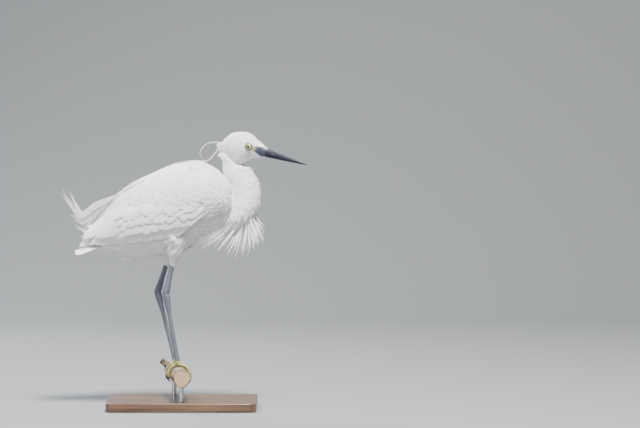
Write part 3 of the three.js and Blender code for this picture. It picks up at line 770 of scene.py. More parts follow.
# Stores the baking map: each tuft is a small patch at its root's place on the skin's unwrap
def storeBakeMap(t, geometry):
    root, own = named(t, "skinUV", "FLOAT_VECTOR"), named(t, "vaneUV", "FLOAT_VECTOR")
    patch = t.node("ShaderNodeVectorMath", {"operation": "MULTIPLY_ADD"},
                   {0: own, 1: (bakePatch, bakePatch, 0), 2: root})
    return t.node("GeometryNodeStoreNamedAttribute", {"data_type": "FLOAT2", "domain": "CORNER"},
                  {"Geometry": geometry, "Name": "OFBake", "Value": patch})


# turns are the most that a stray tuft pitches, yaws and rolls
coatSpread = {"density": 1.2, "leastCover": 0.02, "size": (0.82, 1.18), "turns": (0.5, 1.0, 0.7)}


def coatTree():
    t, given = groupTree("setCoat", {"Shapes": "Collection", "Spacing": "Float", "Cover": "String",
                                     "Longer": "Float", "Wider": "Float", "Lift": "Float", "Stray": "Float",
                                     "Seed": "Int", "Material": "Material"})
    spacing, seed, stray = (given.out(name) for name in ("Spacing", "Seed", "Stray"))
    cover, density = named(t, given.out("Cover")), coatSpread["density"] / (spacing * spacing)
    covered = cover.math("GREATER_THAN", coatSpread["leastCover"])
    spots = t.node("GeometryNodeDistributePointsOnFaces", {"distribute_method": "POISSON"},
                   {"Mesh": given, "Distance Min": spacing, "Density Max": density, "Density Factor": cover,
                    "Selection": covered, "Seed": seed})
    facing = t.node("FunctionNodeAxesToRotation", {"primary_axis": "Z", "secondary_axis": "X"},
                    {0: spots.out("Normal"), 1: named(t, "lie", "FLOAT_VECTOR")})
    pitch, yaw, roll = (randomBetween(t, -most, most, seed + k) * stray
                        for k, most in enumerate(coatSpread["turns"], 1))
    nudge = t.join(roll, (given.out("Lift") + pitch) * -1, yaw)
    size = named(t, "featherLong") * randomBetween(t, *coatSpread["size"], seed + 4) * given.out("Longer")
    girth = size * given.out("Wider")
    pick = t.node("FunctionNodeRandomValue", {"data_type": "INT"}, {4: 0, 5: 9, "Seed": seed + 5}, 2)
    coat = setShapes(t, given.out("Shapes"), spots, facing, nudge, t.join(size, girth, girth),
                     **{"Instance Index": pick})
    real = t.node("GeometryNodeRealizeInstances", None, {"Geometry": coat})
    return endTree(t, storeBakeMap(t, real), given.out("Material"))


# Runs a tree on a mesh or curve and returns the result as a piece
def runTree(name, source, tree, values, material):
    carrier = addObject(name + "Carrier", source)
    modifier = carrier.modifiers.new(name, "NODES")
    modifier.node_group = tree
    for item in tree.interface.items_tree:
        if item.in_out == "INPUT" and item.name in values:
            modifier[item.identifier] = values[item.name]
    dg = bpy.context.evaluated_depsgraph_get()
    mesh = bpy.data.meshes.new_from_object(carrier.evaluated_get(dg), depsgraph=dg)
    bpy.data.objects.remove(carrier)
    for extra in ("skinUV", "lie", "featherLong"):
        if extra in mesh.attributes:
            mesh.attributes.remove(mesh.attributes[extra])
    mesh.materials.clear()
    mesh.materials.append(material)
    mesh.name = name
    return addObject(name, mesh)


skinMesh, skinHints = makeSkin()
print("skin meshed:", len(skinMesh.vertices), "points")
skinPoints, skinLie, skinLong, skinLabel = readHints(skinMesh, skinHints)
skinUV, skinCorner = unwrapSkin(skinMesh, skinPoints, skinLabel)
skinTree = nearestTree(skinPoints)
pointUV = np.zeros((len(skinPoints), 2))
pointUV[skinCorner] = skinUV
headFrame = np.linalg.inv(headMatrix)
inHead = skinPoints @ headFrame[:3, :3].T + headFrame[:3, 3]


# The lores are bare: a wedge that widens from the eye to the bill
lores = {"ahead": [3, 13, 20, 26], "top": [2.6, 3.6, 3.9, 3.6], "bottom": [-4.6, -7.2, -10.6, -11.5],
         "eye": 6.0}


def bareMask():
    ahead, across, up = inHead.T
    top = np.interp(ahead, lores["ahead"], lores["top"])
    bottom = np.interp(ahead, lores["ahead"], lores["bottom"])
    inside = smoothStep(up, bottom - 0.6, bottom + 0.6) * (1 - smoothStep(up, top, top + 1))
    wedge = smoothStep(ahead, 1, 3) * inside
    ring = 1 - smoothStep(np.hypot(ahead, up), lores["eye"] - 0.6, lores["eye"] + 0.4)
    return np.maximum(wedge, ring) * (skinLabel == regions.index("head")) * (np.abs(across) > 3)


bareSkin = bareMask()


cover = {
    # how steeply feathers may stand on the skin, and what lies under the wings' own feathers
    "steep": 0.8, "thighSteep": 0.55, "wingSide": 12, "wingAhead": 74, "wingBehind": -140, "wingEdge": 6,
    # the arm's own coat ends above the lesser coverts, but goes on at the shoulder
    "lesser": 0.42, "shoulder": 48, "bellyTop": 285, "bellyAhead": 40, "torsoOnBelly": 0.4, "billRoot": 26,
}


# How thickly each coat covers the skin, from 0 to 1. Feathers grow only where they can lie along the skin.
def coverMasks():
    x, y, z = skinPoints.T
    standsUp = np.abs((readAll(skinMesh.vertices, "normal", 3) * skinLie).sum(1))
    lies = standsUp < cover["steep"]
    torso, neck, head, armRight, armLeft, thighRight, thighLeft = (
        (skinLabel == n).astype(float) for n in range(len(regions)))
    wing = atX(wingStations, np.clip(x, wingStations[-1, 0] + 1, wingStations[0, 0] - 1))
    inWing = (np.abs(y) > cover["wingSide"]) * (x < cover["wingAhead"]) * (x > cover["wingBehind"])
    under = inWing * (z < wing[:, 1] - cover["wingEdge"]) * (z > wing[:, 2] + cover["wingEdge"]) * torso
    arm = armRight + armLeft
    aboveLesser = z > lerp(wing[:, 2], wing[:, 1], cover["lesser"])
    belly = torso * (z < cover["bellyTop"]) * (x < cover["bellyAhead"])
    return {
        "coverHead": head * (1 - bareSkin) * (inHead[:, 0] < cover["billRoot"]),
        "coverNeck": neck * lies,
        "coverArm": arm * (aboveLesser | (x > cover["shoulder"])),
        "coverThigh": (thighRight + thighLeft) * (standsUp < cover["thighSteep"]),
        "coverBelly": belly * (1 - under) * lies,
        "coverTorso": torso * (1 - under) * (1 - belly * (1 - cover["torsoOnBelly"])) * lies,
    }


storeAttribute(skinMesh, "lie", "FLOAT_VECTOR", skinLie)
storeAttribute(skinMesh, "featherLong", "FLOAT", skinLong * mm)
storeAttribute(skinMesh, "bareSkin", "FLOAT", bareSkin)
storeAttribute(skinMesh, "fromEye", "FLOAT", np.hypot(inHead[:, 0], inHead[:, 2]))
for name, values in coverMasks().items():
    storeAttribute(skinMesh, name, "FLOAT", values)

coats = {
    # name: which mask, spacing, longer, wider, lift, stray, shapes
    "coatHead": ("coverHead", 0.95, 1.1, 0.75, 0.045, 0.12, fineShapes),
    "coatNeck": ("coverNeck", 1.35, 1.3, 0.70, 0.045, 0.13, tuftShapes),
    "coatTorso": ("coverTorso", 1.8, 1.3, 0.75, 0.04, 0.10, tuftShapes),
    "coatBelly": ("coverBelly", 1.9, 1.4, 0.65, 0.07, 0.18, tuftShapes),
    "coatArms": ("coverArm", 1.8, 1.05, 1.0, 0.04, 0.07, tuftShapes),
    "coatThighs": ("coverThigh", 1.4, 1.2, 0.7, 0.03, 0.12, tuftShapes),
}
coatNodes = coatTree()
for seed, (name, (mask, spacing, longer, wider, lift, stray, shapes)) in enumerate(coats.items()):
    values = {"Shapes": shapes, "Spacing": spacing * mm, "Cover": mask, "Longer": longer, "Wider": wider,
              "Lift": lift, "Stray": stray, "Seed": 10 * seed + 3, "Material": coatMaterial}
    coat = runTree(name, skinMesh.copy(), coatNodes, values, coatMaterial)
    settle(coat, "plumage")
    print(name, len(coat.data.polygons), "faces")


# Baking map of the feathers that are built one by one
def addBakeMap(piece, roots):
    mesh = piece.data
    corner = readAll(mesh.loops, "vertex_index", kind=int)
    own = readAll(mesh.uv_layers["vaneUV"].data, "uv", 2)
    found = {}
    at = np.zeros((len(roots), 2))
    for i, root in enumerate(roots):
        key = tuple(np.round(root, 5))
        if key not in found:
            found[key] = pointUV[skinTree.find(Vector(root) / mm)[1]]
        at[i] = found[key]
    mesh.uv_layers.new(name="OFBake").data.foreach_set("uv", (at[corner] + own * bakePatch).ravel())


def featherPiece(name, heap, material, *standsFor):
    piece = heap.piece(name, material)
    addBakeMap(piece, heap.roots)
    settle(piece, "plumage", *standsFor)
    print(name, len(piece.data.polygons), "faces")


# Sections of six points along a path: across it by aside and above it by above
def addSections(heap, path, up, sides, aside, above):
    across, over = pathFrame(path, up)
    points = path[:, None] + across[:, None] * aside[..., None] + over[:, None] * above[..., None]
    s = np.linspace(0, 1, len(path))
    uv = together(s[:, None], 0.5 + 0.5 * sides)
    heap.add(points.reshape(-1, 3) * mm, ringFaces(len(path), 6), uv.reshape(-1, 2), path[0] * mm)


# how far the edges bow down, and how much of the length the tip is rounded over
vane = {"bow": 0.12, "tip": 0.125}


# One long feather: a closed vane along a path, with a shaft, a bowed section and a few splits in its edge
def addVane(heap, path, up, half, thick, splits=2, sections=22):
    path = smoothPath(path, sections)
    s = np.linspace(0, 1, sections)
    up = np.stack([np.interp(s, np.linspace(0, 1, len(up)), up[:, k]) for k in range(3)], 1)
    width = half * np.interp(s, [0, 0.1, 0.45, 0.85, 1], [0.35, 0.7, 1, 0.95, 0.5])
    width *= np.sqrt(np.clip(1 - np.clip((s - 1 + vane["tip"]) / vane["tip"], 0, 1) ** 2, 0.004, 1))
    sides = np.array([-1, -0.55, 0, 0.55, 1, 0])
    ragged = np.ones((sections, 2))
    for _ in range(splits):
        k, edge = rng.integers(sections // 3, sections - 3), rng.integers(0, 2)
        ragged[k, edge] *= rng.uniform(0.72, 0.88)
    aside = width[:, None] * np.where(sides < 0, ragged[:, :1], ragged[:, 1:]) * sides
    shaft = thick * (1.1 - 0.8 * s)
    flat = thick * np.array([0, 0.4, 0, 0.4, 0, -0.5]) + shaft[:, None] * (np.arange(6) == 2)
    addSections(heap, path, up, sides, aside, -vane["bow"] * width[:, None] * sides ** 2 + flat)


wingTiers = {
    # count, first and last tip seen from the side, first and last slope, length, half-width, lift, tilt,
    # scatter
    "primaries": (7, (-108, 259), (-159, 252), (25, 33), 112, 5.6, 1.7, 0.24, 0.4),
    "secondaries": (16, (-14, 268), (-140, 255), (38, 27), 88, 6.4, 4.6, 0.22, 0.6),
    "tertials": (8, (-92, 273), (-151, 262), (33, 40), 86, 6.8, 7.2, 0.16, 0.8),
    "greaterCoverts": (18, (6, 288), (-100, 269), (40, 31), 40, 6.0, 7.6, 0.12, 1.2),
    "medianCoverts": (20, (14, 300), (-98, 282), (38, 32), 34, 5.8, 8.4, 0.08, 2.0),
    "lesserCoverts": (22, (20, 314), (-98, 294), (36, 32), 30, 5.4, 9.0, 0.05, 2.5),
}


# Every feather of a wing differs a little from its neighbours in place, slope and length
wingSizes = {"slopeScatter": 0.35, "length": (0.96, 1.04), "bow": 0.03, "foremost": 70, "rootSinks": 3.5,
             "rootLower": 0.25}


def wingFeathers(side):
    heap = Heap()
    for count, first, last, slopes, long, half, lift, tilt, scatter in wingTiers.values():
        for t in np.linspace(0, 1, count):
            tip = lerp(np.array(first, float), np.array(last, float), t) + rng.normal(0, scatter, 2)
            slope = math.radians(lerp(slopes[0], slopes[1], t) + rng.normal(0, wingSizes["slopeScatter"]))
            reach = long * rng.uniform(*wingSizes["length"])
            s = np.linspace(1, 0, 9)
            x = np.minimum(tip[0] + reach * s * math.cos(slope), wingSizes["foremost"])
            z = tip[1] + reach * s * math.sin(slope) + wingSizes["bow"] * long * np.sin(np.pi * s)
            sinks = wingSizes["rootSinks"] * smoothStep(s, 0.6, 1)
            path = overWing(side, x, z, lift * (1 - wingSizes["rootLower"] * s) - sinks)
            up = unit(overWing(side, x, z, lift + 10) - path) + np.array([0, 0, tilt])
            addVane(heap, path, up, half, 0.32, splits=rng.integers(0, 3), sections=20 if long > 50 else 12)
    return heap


for label, side in (("right", -1), ("left", 1)):
    featherPiece("wingFeathers_" + label, wingFeathers(side), vaneMaterial, "wing_" + label)


# Scapulars: long narrow feathers that lie over the back's sides and the upper edge of the wings
scapulars = {"turns": (9, 20, 31, 41), "each": 8, "firstTip": -48, "lastTip": -142, "long": 62, "half": 6.0,
             "tipScatter": 4, "turnScatter": 2.0, "lift": 4.0, "rowDrop": 0.5, "rootSinks": 6.0}


def scapularFeathers():
    heap = Heap()
    for side in (-1, 1):
        for row, degrees in enumerate(scapulars["turns"]):
            for t in np.linspace(0, 1, scapulars["each"]):
                tip = lerp(scapulars["firstTip"], scapulars["lastTip"], t)
                tip = tip + rng.normal(0, scapulars["tipScatter"])
                turn = math.radians(degrees + rng.normal(0, scapulars["turnScatter"]))
                s = np.linspace(1, 0, 8)
                x = tip + scapulars["long"] * s * rng.uniform(0.9, 1.1)
                lift = scapulars["lift"] - scapulars["rowDrop"] * row
                lift = lift - scapulars["rootSinks"] * smoothStep(s, 0.55, 1) + rng.normal(0, 0.3)
                path = overTorso(x, turn * (1 - 0.1 * s), lift)
                path[:, 1] *= side
                up = unit(overTorso(x, turn, lift + 10) * [1, side, 1] - path)
                addVane(heap, path, up, scapulars["half"], 0.3, splits=2, sections=16)
    return heap


featherPiece("scapulars", scapularFeathers(), vaneMaterial)


# Tail: six pairs of feathers, the middle pair on top
tail = {"root": (-112, 0, 263), "tip": (-166, 0, 245), "pairs": 6, "fan": 2.9, "half": 6.4, "stack": 1.05}


def tailFeathers():
    heap = Heap()
    root, tip = np.array(tail["root"], float), np.array(tail["tip"], float)
    for k in range(2 * tail["pairs"]):
        place = k - tail["pairs"] + 0.5
        drop = tail["stack"] * (abs(place) - 0.5) + (tail["stack"] / 2 if place == 0.5 else 0)
        fan = math.radians(place * tail["fan"])
        s = np.linspace(0, 1, 6)
        p = root + (tip - root) * s[:, None]
        long = tip[0] - root[0]
        path = np.stack([p[:, 0] - long * (1 - math.cos(fan)) * s, -long * math.sin(fan) * s + place * 0.9,
                         p[:, 2] - drop * (0.4 + 0.6 * s)], 1)
        up = np.tile([0, 0.05 * place, 1.0], (6, 1))
        addVane(heap, path, up, tail["half"], 0.4, splits=1)
    return heap


featherPiece("tailFeathers", tailFeathers(), vaneMaterial, "tail")


# Loose plumes: Geometry Nodes sets barbs along curves, a pair at a time
def makeBarbs():
    points, faces, uv = [], [], []
    for side in (-1, 1):
        a, b, c, m, e = range(len(points), len(points) + 5)
        points += [(0, 0, 0), (0.05, 0, 0.02), (0.10, 0, 0)]
        points += [(0.62, side * 0.34, 0.03), (1.0, side * 0.47, -0.05)]
        uv += [(0, 0.5)] * 3 + [(0.6, 0.5 + 0.3 * side), (1, 0.5 + 0.5 * side)]
        faces += [(a, b, m), (b, c, m), (c, a, m), (a, m, e), (m, c, e), (c, b, a)]
    return makePiece("barbPair", points, faces, plumeMaterial, uv)


barbShapes = shapeStore("barbShapes", [makeBarbs()])


def plumeTree():
    t, given = groupTree("dressPlume", {"Barbs": "Collection", "Spacing": "Float", "Barb length": "Float",
                                        "Shaft": "Float", "Stray": "Float", "Seed": "Int",
                                        "Material": "Material"})
    seed, stray = given.out("Seed"), given.out("Stray")
    way = t.node("GeometryNodeSplineParameter")
    marked = t.node("GeometryNodeStoreNamedAttribute", {"data_type": "FLOAT", "domain": "POINT"},
                    {"Geometry": given, "Name": "wayAlong", "Value": way})
    spots = t.node("GeometryNodeCurveToPoints", {"mode": "LENGTH"},
                   {"Curve": marked, "Length": given.out("Spacing")})
    # barbs are longest in the middle of the plume and close up to a fine tip
    factor = named(t, "wayAlong")
    full = (factor * 3.1416).math("SINE").math("MAXIMUM", 0.0) ** 0.6
    profile = full * (1 - factor * 0.35) + 0.10
    size = profile * given.out("Barb length") * randomBetween(t, 0.7, 1.2, seed)
    swing = randomBetween(t, -1.0, 1.0, seed + 1) * stray
    twist = randomBetween(t, -1.0, 1.0, seed + 2) * stray
    nudge = t.join(swing, -1.5708, twist * 0.5)
    barbed = setShapes(t, given.out("Barbs"), spots, spots.out("Rotation"), nudge, t.join(size, size, size))
    ring = t.node("GeometryNodeCurvePrimitiveCircle", None, {"Resolution": 4, "Radius": 1.0})
    shaft = t.node("GeometryNodeCurveToMesh", None, {"Curve": given, "Profile Curve": ring, "Fill Caps": True,
                                                     "Scale": given.out("Shaft") * (1.08 - way)})
    joined = t.node("GeometryNodeJoinGeometry", None, {"Geometry": barbed})
    t.tree.links.new(shaft.socket, joined.node.inputs[0])
    real = t.node("GeometryNodeRealizeInstances", None, {"Geometry": joined})
    return endTree(t, real, given.out("Material"))


def plumeCurves(name, paths):
    curve = bpy.data.curves.new(name, "CURVE")
    curve.dimensions = "3D"
    for path in paths:
        spline = curve.splines.new("POLY")
        spline.points.add(len(path) - 1)
        spline.points.foreach_set("co", np.hstack([path * mm, np.ones((len(path), 1))]).ravel())
    return curve


plumeNodes = plumeTree()
backPlumes = {
    "count": 36, "spread": 30.0, "spacing": 0.8, "barb": 6.5, "shaft": 0.3,
    "roots": (-42, -8), "lying": -62, "leaving": -95, "rise": (0.6, 3.8),
    # where the plumes bend up and where they end, seen from the side, from the highest to the lowest,
    # how far they spread there, and how far each may stray from that along X, Y and Z
    "bends": [(-158, 302), (-156, 297), (-152, 285), (-146, 272)], "bendSide": 25,
    "bendStray": [(-5, 8), (-3, 3), (-2, 3)],
    "tips": [(-190, 340), (-169, 324), (-170, 293), (-160, 277)], "tipSide": 36,
    "tipStray": [(-4, 14), (-7, 7), (-12, 4)],
}


def partWay(values, t):
    values = np.array(values, float)
    return np.array([np.interp(t, np.linspace(0, 1, len(values)), column) for column in values.T])


def strayed(x, y, z, spans):
    return np.array([value + rng.uniform(*span) for value, span in zip((x, y, z), spans)])


def backPlumePaths():
    paths = []
    for k in range(backPlumes["count"]):
        t = k / (backPlumes["count"] - 1)
        turn = math.radians(backPlumes["spread"]) * rng.uniform(-1, 1)
        side, rise = math.sin(turn), rng.uniform(*backPlumes["rise"])
        x, z = partWay(backPlumes["bends"], t)
        bend = strayed(x, side * backPlumes["bendSide"], z, backPlumes["bendStray"])
        x, z = partWay(backPlumes["tips"], t)
        tip = strayed(x, side * backPlumes["tipSide"], z, backPlumes["tipStray"])
        first = overTorso(rng.uniform(*backPlumes["roots"]), turn, -3)
        lying = overTorso(backPlumes["lying"], turn, rise)
        leaving = overTorso(backPlumes["leaving"], turn * 0.9, rise + 1)
        bending = lerp(leaving, bend, 0.55) + [0, 0, 2]
        paths.append(smoothPath([first, lying, leaving, bending, bend, tip], 70))
    return paths


# The root of the plume that each barb or shaft belongs to. The points of one barb are joined by edges.
def plumeRoots(mesh, paths):
    places = readAll(mesh.vertices, "co", 3)
    one, other = readAll(mesh.edges, "vertices", 2, int).T
    island = np.arange(len(places))
    while True:
        lowest = np.minimum(island[one], island[other])
        joined = island.copy()
        np.minimum.at(joined, one, lowest)
        np.minimum.at(joined, other, lowest)
        joined = joined[joined]
        if (joined == island).all():
            break
        island = joined
    owner = nearestTree(np.concatenate(paths) * mm)
    starts = np.repeat([path[0] * mm for path in paths], [len(path) for path in paths], axis=0)
    found = {i: starts[owner.find(places[i])[1]] for i in np.unique(island)}
    return np.array([found[i] for i in island])


# Two narrow plumes on the nape: one loops out and onto the shoulder, the other falls to the back
napePlumes = {"spacing": 0.35, "barb": 2.4, "shaft": 0.5}
napePaths = [
    [(84, 3, 403), (72, 4, 407), (60, 5, 412), (40, 6, 411), (28, 8, 398), (32, 14, 386), (42, 20, 376.5)],
    [(84, 0, 400), (72, 1, 404), (60, 0, 406), (49, -4, 393), (38, -8, 384.5), (10, -9, 384), (-20, -9, 375)]]
dressed = {"backPlumes": (backPlumes, backPlumePaths()),
           "napePlumes": (napePlumes, [smoothPath(path, 110) for path in napePaths])}
for name, (sizes, paths) in dressed.items():
    values = {"Barbs": barbShapes, "Spacing": sizes["spacing"] * mm, "Barb length": sizes["barb"] * mm,
              "Shaft": sizes["shaft"] * mm, "Stray": 0.9, "Seed": 7, "Material": plumeMaterial}
    piece = runTree(name, plumeCurves(name, paths), plumeNodes, values, plumeMaterial)
    addBakeMap(piece, plumeRoots(piece.data, paths))
    settle(piece, "plumage")
    print(name, len(piece.data.polygons), "faces")


# Narrow pointed plumes that hang from the breast over the keel
def addPointed(heap, points, up, half, sections=26, thick=0.35):
    path = smoothPath(points, sections)
    width = half * np.interp(np.linspace(0, 1, sections), [0, 0.15, 0.6, 1], [0.7, 1, 0.8, 0.05])[:, None]
    sides = np.array([-1, -0.5, 0, 0.5, 1, 0])
    above = np.array([-0.25, 0.05, thick / half, 0.05, -0.25, -thick / half]) * width
    addSections(heap, path, up, sides, width * sides, above)


breastRows = {
    # how far to the side, then the tips of a row seen from the side
    -17: [(28, 254), (29, 243), (51, 242), (76, 232), (103, 231), (120, 258)],
    0: [(65, 243), (88, 236), (112, 243), (126, 257), (125, 283)],
    17: [(33, 246), (56, 238), (84, 235), (108, 240), (122, 268)],
}


breast = {"each": 5, "rootHigh": 302, "rootAhead": (93, 105), "half": (1.1, 1.75)}


def breastPlumes():
    heap = Heap()
    for y, tips in breastRows.items():
        for t in np.linspace(0, 1, breast["each"] * len(tips)):
            x, z = partWay(tips, t) + rng.normal(0, 1.6, 2)
            short = rng.uniform(0, 0.25)
            root = np.array([lerp(*breast["rootAhead"], x / 130), y * 0.8 + rng.uniform(-5, 5),
                             breast["rootHigh"] + rng.uniform(-4, 8)])
            tip = np.array([x, y * 1.15 + rng.uniform(-7, 7), lerp(z, breast["rootHigh"], short)])
            middle = lerp(root, tip, 0.5) + [(x - 80) * 0.07, 0, -4]
            late = lerp(root, tip, 0.82) + [(x - 80) * 0.06 + rng.normal(0, 1.2), rng.normal(0, 0.8), -2.5]
            up = (rng.uniform(-0.4, 0.4), -1 if y < 8 else 1, 0)
            addPointed(heap, [root, middle, late, tip], up, rng.uniform(*breast["half"]))
    return heap


featherPiece("pointedPlumes", breastPlumes(), plumeMaterial)

skinMesh.materials.clear()
skinMesh.materials.append(skinMaterial)
skinMesh.polygons.foreach_set("use_smooth", [True] * len(skinMesh.polygons))
settle(addObject("skin", skinMesh), "plumage", "head", "neck", "torso", "thigh_right", "thigh_left")


# Bill
bill = {"length": 96.0, "root": 20.0, "upper": 7.4, "lower": 6.4, "half": 5.5, "mouth": -3.9, "gap": 0.12,
        "taper": 0.88, "nostril": 39.0, "nostrilLong": 8.0, "nostrilLevel": 0.5,
        # the groove that runs forward from the nostril, and how deep both are as a part of the width
        "groove": (24, 32, 55, 78), "grooveDeep": 0.08, "nostrilDeep": 0.25}


def billLook(t, place):
    fine, broad = t.noise(place, 900, 3.0), t.noise(place, 90, 3.0)
    u, v = t.onVane()
    # the nostril's slit is painted black inside: painted shade in the hole
    slitShadeLong = 1 - t.smooth((u - 0.25).math("ABSOLUTE"), 0.035, 0.055)
    slitShadeHigh = 1 - t.smooth(((v - 0.5).math("ABSOLUTE") - 0.333).math("ABSOLUTE"), 0.006, 0.016)
    horn = t.mix(broad, (0.004, 0.005, 0.013), (0.010, 0.012, 0.026))
    return {"Base Color": t.mix(slitShadeLong * slitShadeHigh, horn, (0.001, 0.001, 0.001)),
            "Roughness": broad * 0.2 + 0.38, "height": fine, "strength": 0.1, "distance": 0.0003}


billMaterial = makeMaterial("billHorn", billLook, **{"Specular IOR Level": 0.28})


def billHalf(way, height):
    sides, rows = 40, 90
    turn = allRound(sides)
    t = np.linspace(0, 1, rows)[:, None]
    x = lerp(bill["root"], bill["length"], t)
    taper = (1 - t) ** bill["taper"] * 0.97 + 0.02
    taper = taper * np.clip((1 - t) / 0.004, 0.25, 1)
    rim = bill["mouth"] + way * bill["gap"] / 2
    dome = np.clip(np.cos(turn), 0, 1)
    side = bill["half"] * taper * np.sign(np.sin(turn)) * np.abs(np.sin(turn)) ** 0.85
    rise = height * taper * dome ** 0.9
    if way > 0:
        off = dome - bill["nostrilLevel"]
        begins, full, fades, ends = bill["groove"]
        groove = smoothStep(x, begins, full) * (1 - smoothStep(x, fades, ends)) * np.exp(-(off / 0.16) ** 2)
        inSlit = (x - bill["nostril"]) / (bill["nostrilLong"] / 2)
        slit = np.exp(-(inSlit ** 4)) * np.exp(-(off / 0.07) ** 2)
        side = side * (1 - bill["grooveDeep"] * groove - bill["nostrilDeep"] * slit)
    place = onHead(together(x, side, rim + way * rise))
    uv = together(t, turn / (2 * np.pi) + (0 if way > 0 else 2))
    return place.reshape(-1, 3), ringFaces(rows, sides), uv.reshape(-1, 2)


for name, way, height in (("bill_upper", 1, bill["upper"]), ("bill_lower", -1, bill["lower"])):
    points, faces, uv = billHalf(way, height)
    settle(makePiece("horn_" + name, points * mm, faces, billMaterial, uv), "bill", name)


# Eyes and their lids
eye = {"radius": 5.6, "out": 10.9, "bulge": 0.045, "lidRadius": 4.9, "lidThick": 0.9, "lidOut": 3.6,
       "lidTurn": 13.0, "lidOval": (1.03, 0.97), "lidFlat": 0.9, "folds": 23, "foldDeep": 0.05}


def irisLook(t, place):
    fromPole, around = t.onVane()
    spokes = t.noise(t.join(fromPole * 2, around * 40, 0.0), 3.0, 3.0)
    iris = t.mix(spokes, (0.60, 0.53, 0.13), (0.82, 0.77, 0.34))
    iris = t.mix(t.smooth(fromPole, 0.225, 0.27), iris, (0.03, 0.03, 0.02))
    pupil = t.smooth(fromPole, 0.155, 0.14)
    return {"Base Color": t.mix(pupil, iris, (0.004, 0.004, 0.005)), "Roughness": 0.12}


eyeMaterial = makeMaterial("eyeWet", irisLook, **{"Coat Weight": 1.0, "Coat Roughness": 0.02})


def lidLook(t, place):
    folds, cells = t.noise(place, 350, 4.0), t.noise(place, 1400, 2.0)
    return {"Base Color": t.mix(folds, (0.05, 0.055, 0.06), (0.16, 0.16, 0.11)),
            "Roughness": folds * 0.2 + 0.4, "height": folds + cells * 0.3,
            "strength": 0.5, "distance": 0.0005}


lidMaterial = makeMaterial("eyelidSkin", lidLook)


def eyeball(side):
    rings, around = 28, 40
    pole = np.linspace(0.02, np.pi, rings)
    turn = allRound(around)
    bulge = eye["radius"] * (1 + eye["bulge"] * np.exp(-(pole / 0.45) ** 2))
    across = np.sin(pole) * bulge
    p = together(across[:, None] * np.cos(turn), side * (np.cos(pole) * bulge)[:, None]
                                     + side * eye["out"], across[:, None] * np.sin(turn) * side)
    uv = together(pole[:, None] / np.pi, turn / (2 * np.pi))
    return onHead(p.reshape(-1, 3)), ringFaces(rings, around), uv.reshape(-1, 2)


def eyelid(side):
    around, sides = 64, 12
    turn = allRound(around)[:, None]
    section = allRound(sides)
    folds = np.sin(eye["folds"] * turn + 2 * np.sin(3 * turn))
    ripple = 1 + eye["foldDeep"] * folds * (1 + np.cos(section))
    radius = eye["lidRadius"] + eye["lidThick"] * ripple * np.cos(section) * eye["lidFlat"]
    x, z = radius * np.cos(turn) * eye["lidOval"][0], radius * np.sin(turn) * eye["lidOval"][1]
    y = eye["lidThick"] * ripple * np.sin(section) + 0 * turn
    lean = -side * math.radians(eye["lidTurn"])
    c, s = math.cos(lean), math.sin(lean)
    p = np.stack([x * c - y * s, x * s + y * c + side * (eye["out"] + eye["lidOut"]), z], -1)
    faces = [(a * sides + b, a * sides + (b + 1) % sides, (a + 1) % around * sides + (b + 1) % sides,
              (a + 1) % around * sides + b) for a in range(around) for b in range(sides)]
    return onHead(p.reshape(-1, 3)), faces


for label, side in (("right", -1), ("left", 1)):
    points, faces, uv = eyeball(side)
    settle(makePiece("eyeball_" + label, points * mm, faces, eyeMaterial, uv), "eye", "eye_" + label)
    points, faces = eyelid(side)
    settle(makePiece("eyelid_" + label, points * mm, faces, lidMaterial), "foot_skin")
print("head ready")


# Legs: scaled tubes with knobbed ankles

# Broad plates down the side of the tube that platesAt gives, from 0 to 1 round it, and small scales elsewhere
def scaledLook(dark, light, plates, platesAt):
    def build(t, place):
        u, v = t.onVane()
        small = t.node("ShaderNodeTexVoronoi", {"feature": "DISTANCE_TO_EDGE"},
                       {"Vector": t.join(u * plates * 2.2, v * 14, 0.0), "Scale": 1.0, "Randomness": 0.35})
        bent = u * plates + ((v - platesAt) * 6.2832).math("COSINE") * 0.35
        broad = (bent * 3.1416).math("SINE").math("ABSOLUTE")
        front = t.smooth(((v - platesAt) * 6.2832).math("COSINE"), 0.45, 0.65)
        edge = t.smooth(small, 0.02, 0.14) * (1 - front) + t.smooth(broad, 0.05, 0.35) * front
        dirt = t.noise(place, 160, 4.0, 0.6)
        colour = t.mix(edge * 0.65 + dirt * 0.5 - 0.1, dark, light)
        return {"Base Color": colour, "Roughness": dirt * 0.25 + 0.38, "height": edge + dirt * 0.2,
                "strength": 0.6, "distance": 0.0004}
    return build


legMaterial = makeMaterial("legScales", scaledLook((0.045, 0.05, 0.062), (0.14, 0.15, 0.18), 40, 0.25))
footMaterial = makeMaterial("footScales", scaledLook((0.15, 0.135, 0.045), (0.40, 0.37, 0.13), 20, 0.0))


def clawLook(t, place):
    broad = t.noise(place, 200, 3.0)
    horn = t.mix(broad, (0.02, 0.018, 0.016), (0.06, 0.05, 0.045))
    return {"Base Color": horn, "Roughness": broad * 0.2 + 0.25}


clawMaterial = makeMaterial("clawHorn", clawLook)


# A closed tube along a path, its radii spread evenly over its length, with bumps as a function of both ways
def tubeSolid(path, radii, sides, count, up=(0, 0.3, 1), bumps=None):
    t, turn = np.linspace(0, 1, count), allRound(sides)
    size = np.interp(t, np.linspace(0, 1, len(radii)), radii)
    if bumps is not None:
        size = size[:, None] * bumps(t[:, None], turn)
    points = tubeRings(smoothPath(path, count), size, sides, up)
    uv = together(t[:, None], np.linspace(0, 1, sides))
    return points.reshape(-1, 3), ringFaces(count, sides), uv.reshape(-1, 2)


def solePoint(leg):
    return perchPoint(leg["footAlong"], math.radians(-5), perch["radius"] + legSizes["sole"])


# Raised shields down the front of the tarsus, finer scales behind
def shields(t, turn):
    front = np.clip(np.sin(turn), 0, 1)
    broad, small = np.abs(np.sin(34 * np.pi * t)) ** 0.5, np.sin(90 * np.pi * t)
    return 1 + 0.035 * front * broad + 0.012 * (1 - front) * small


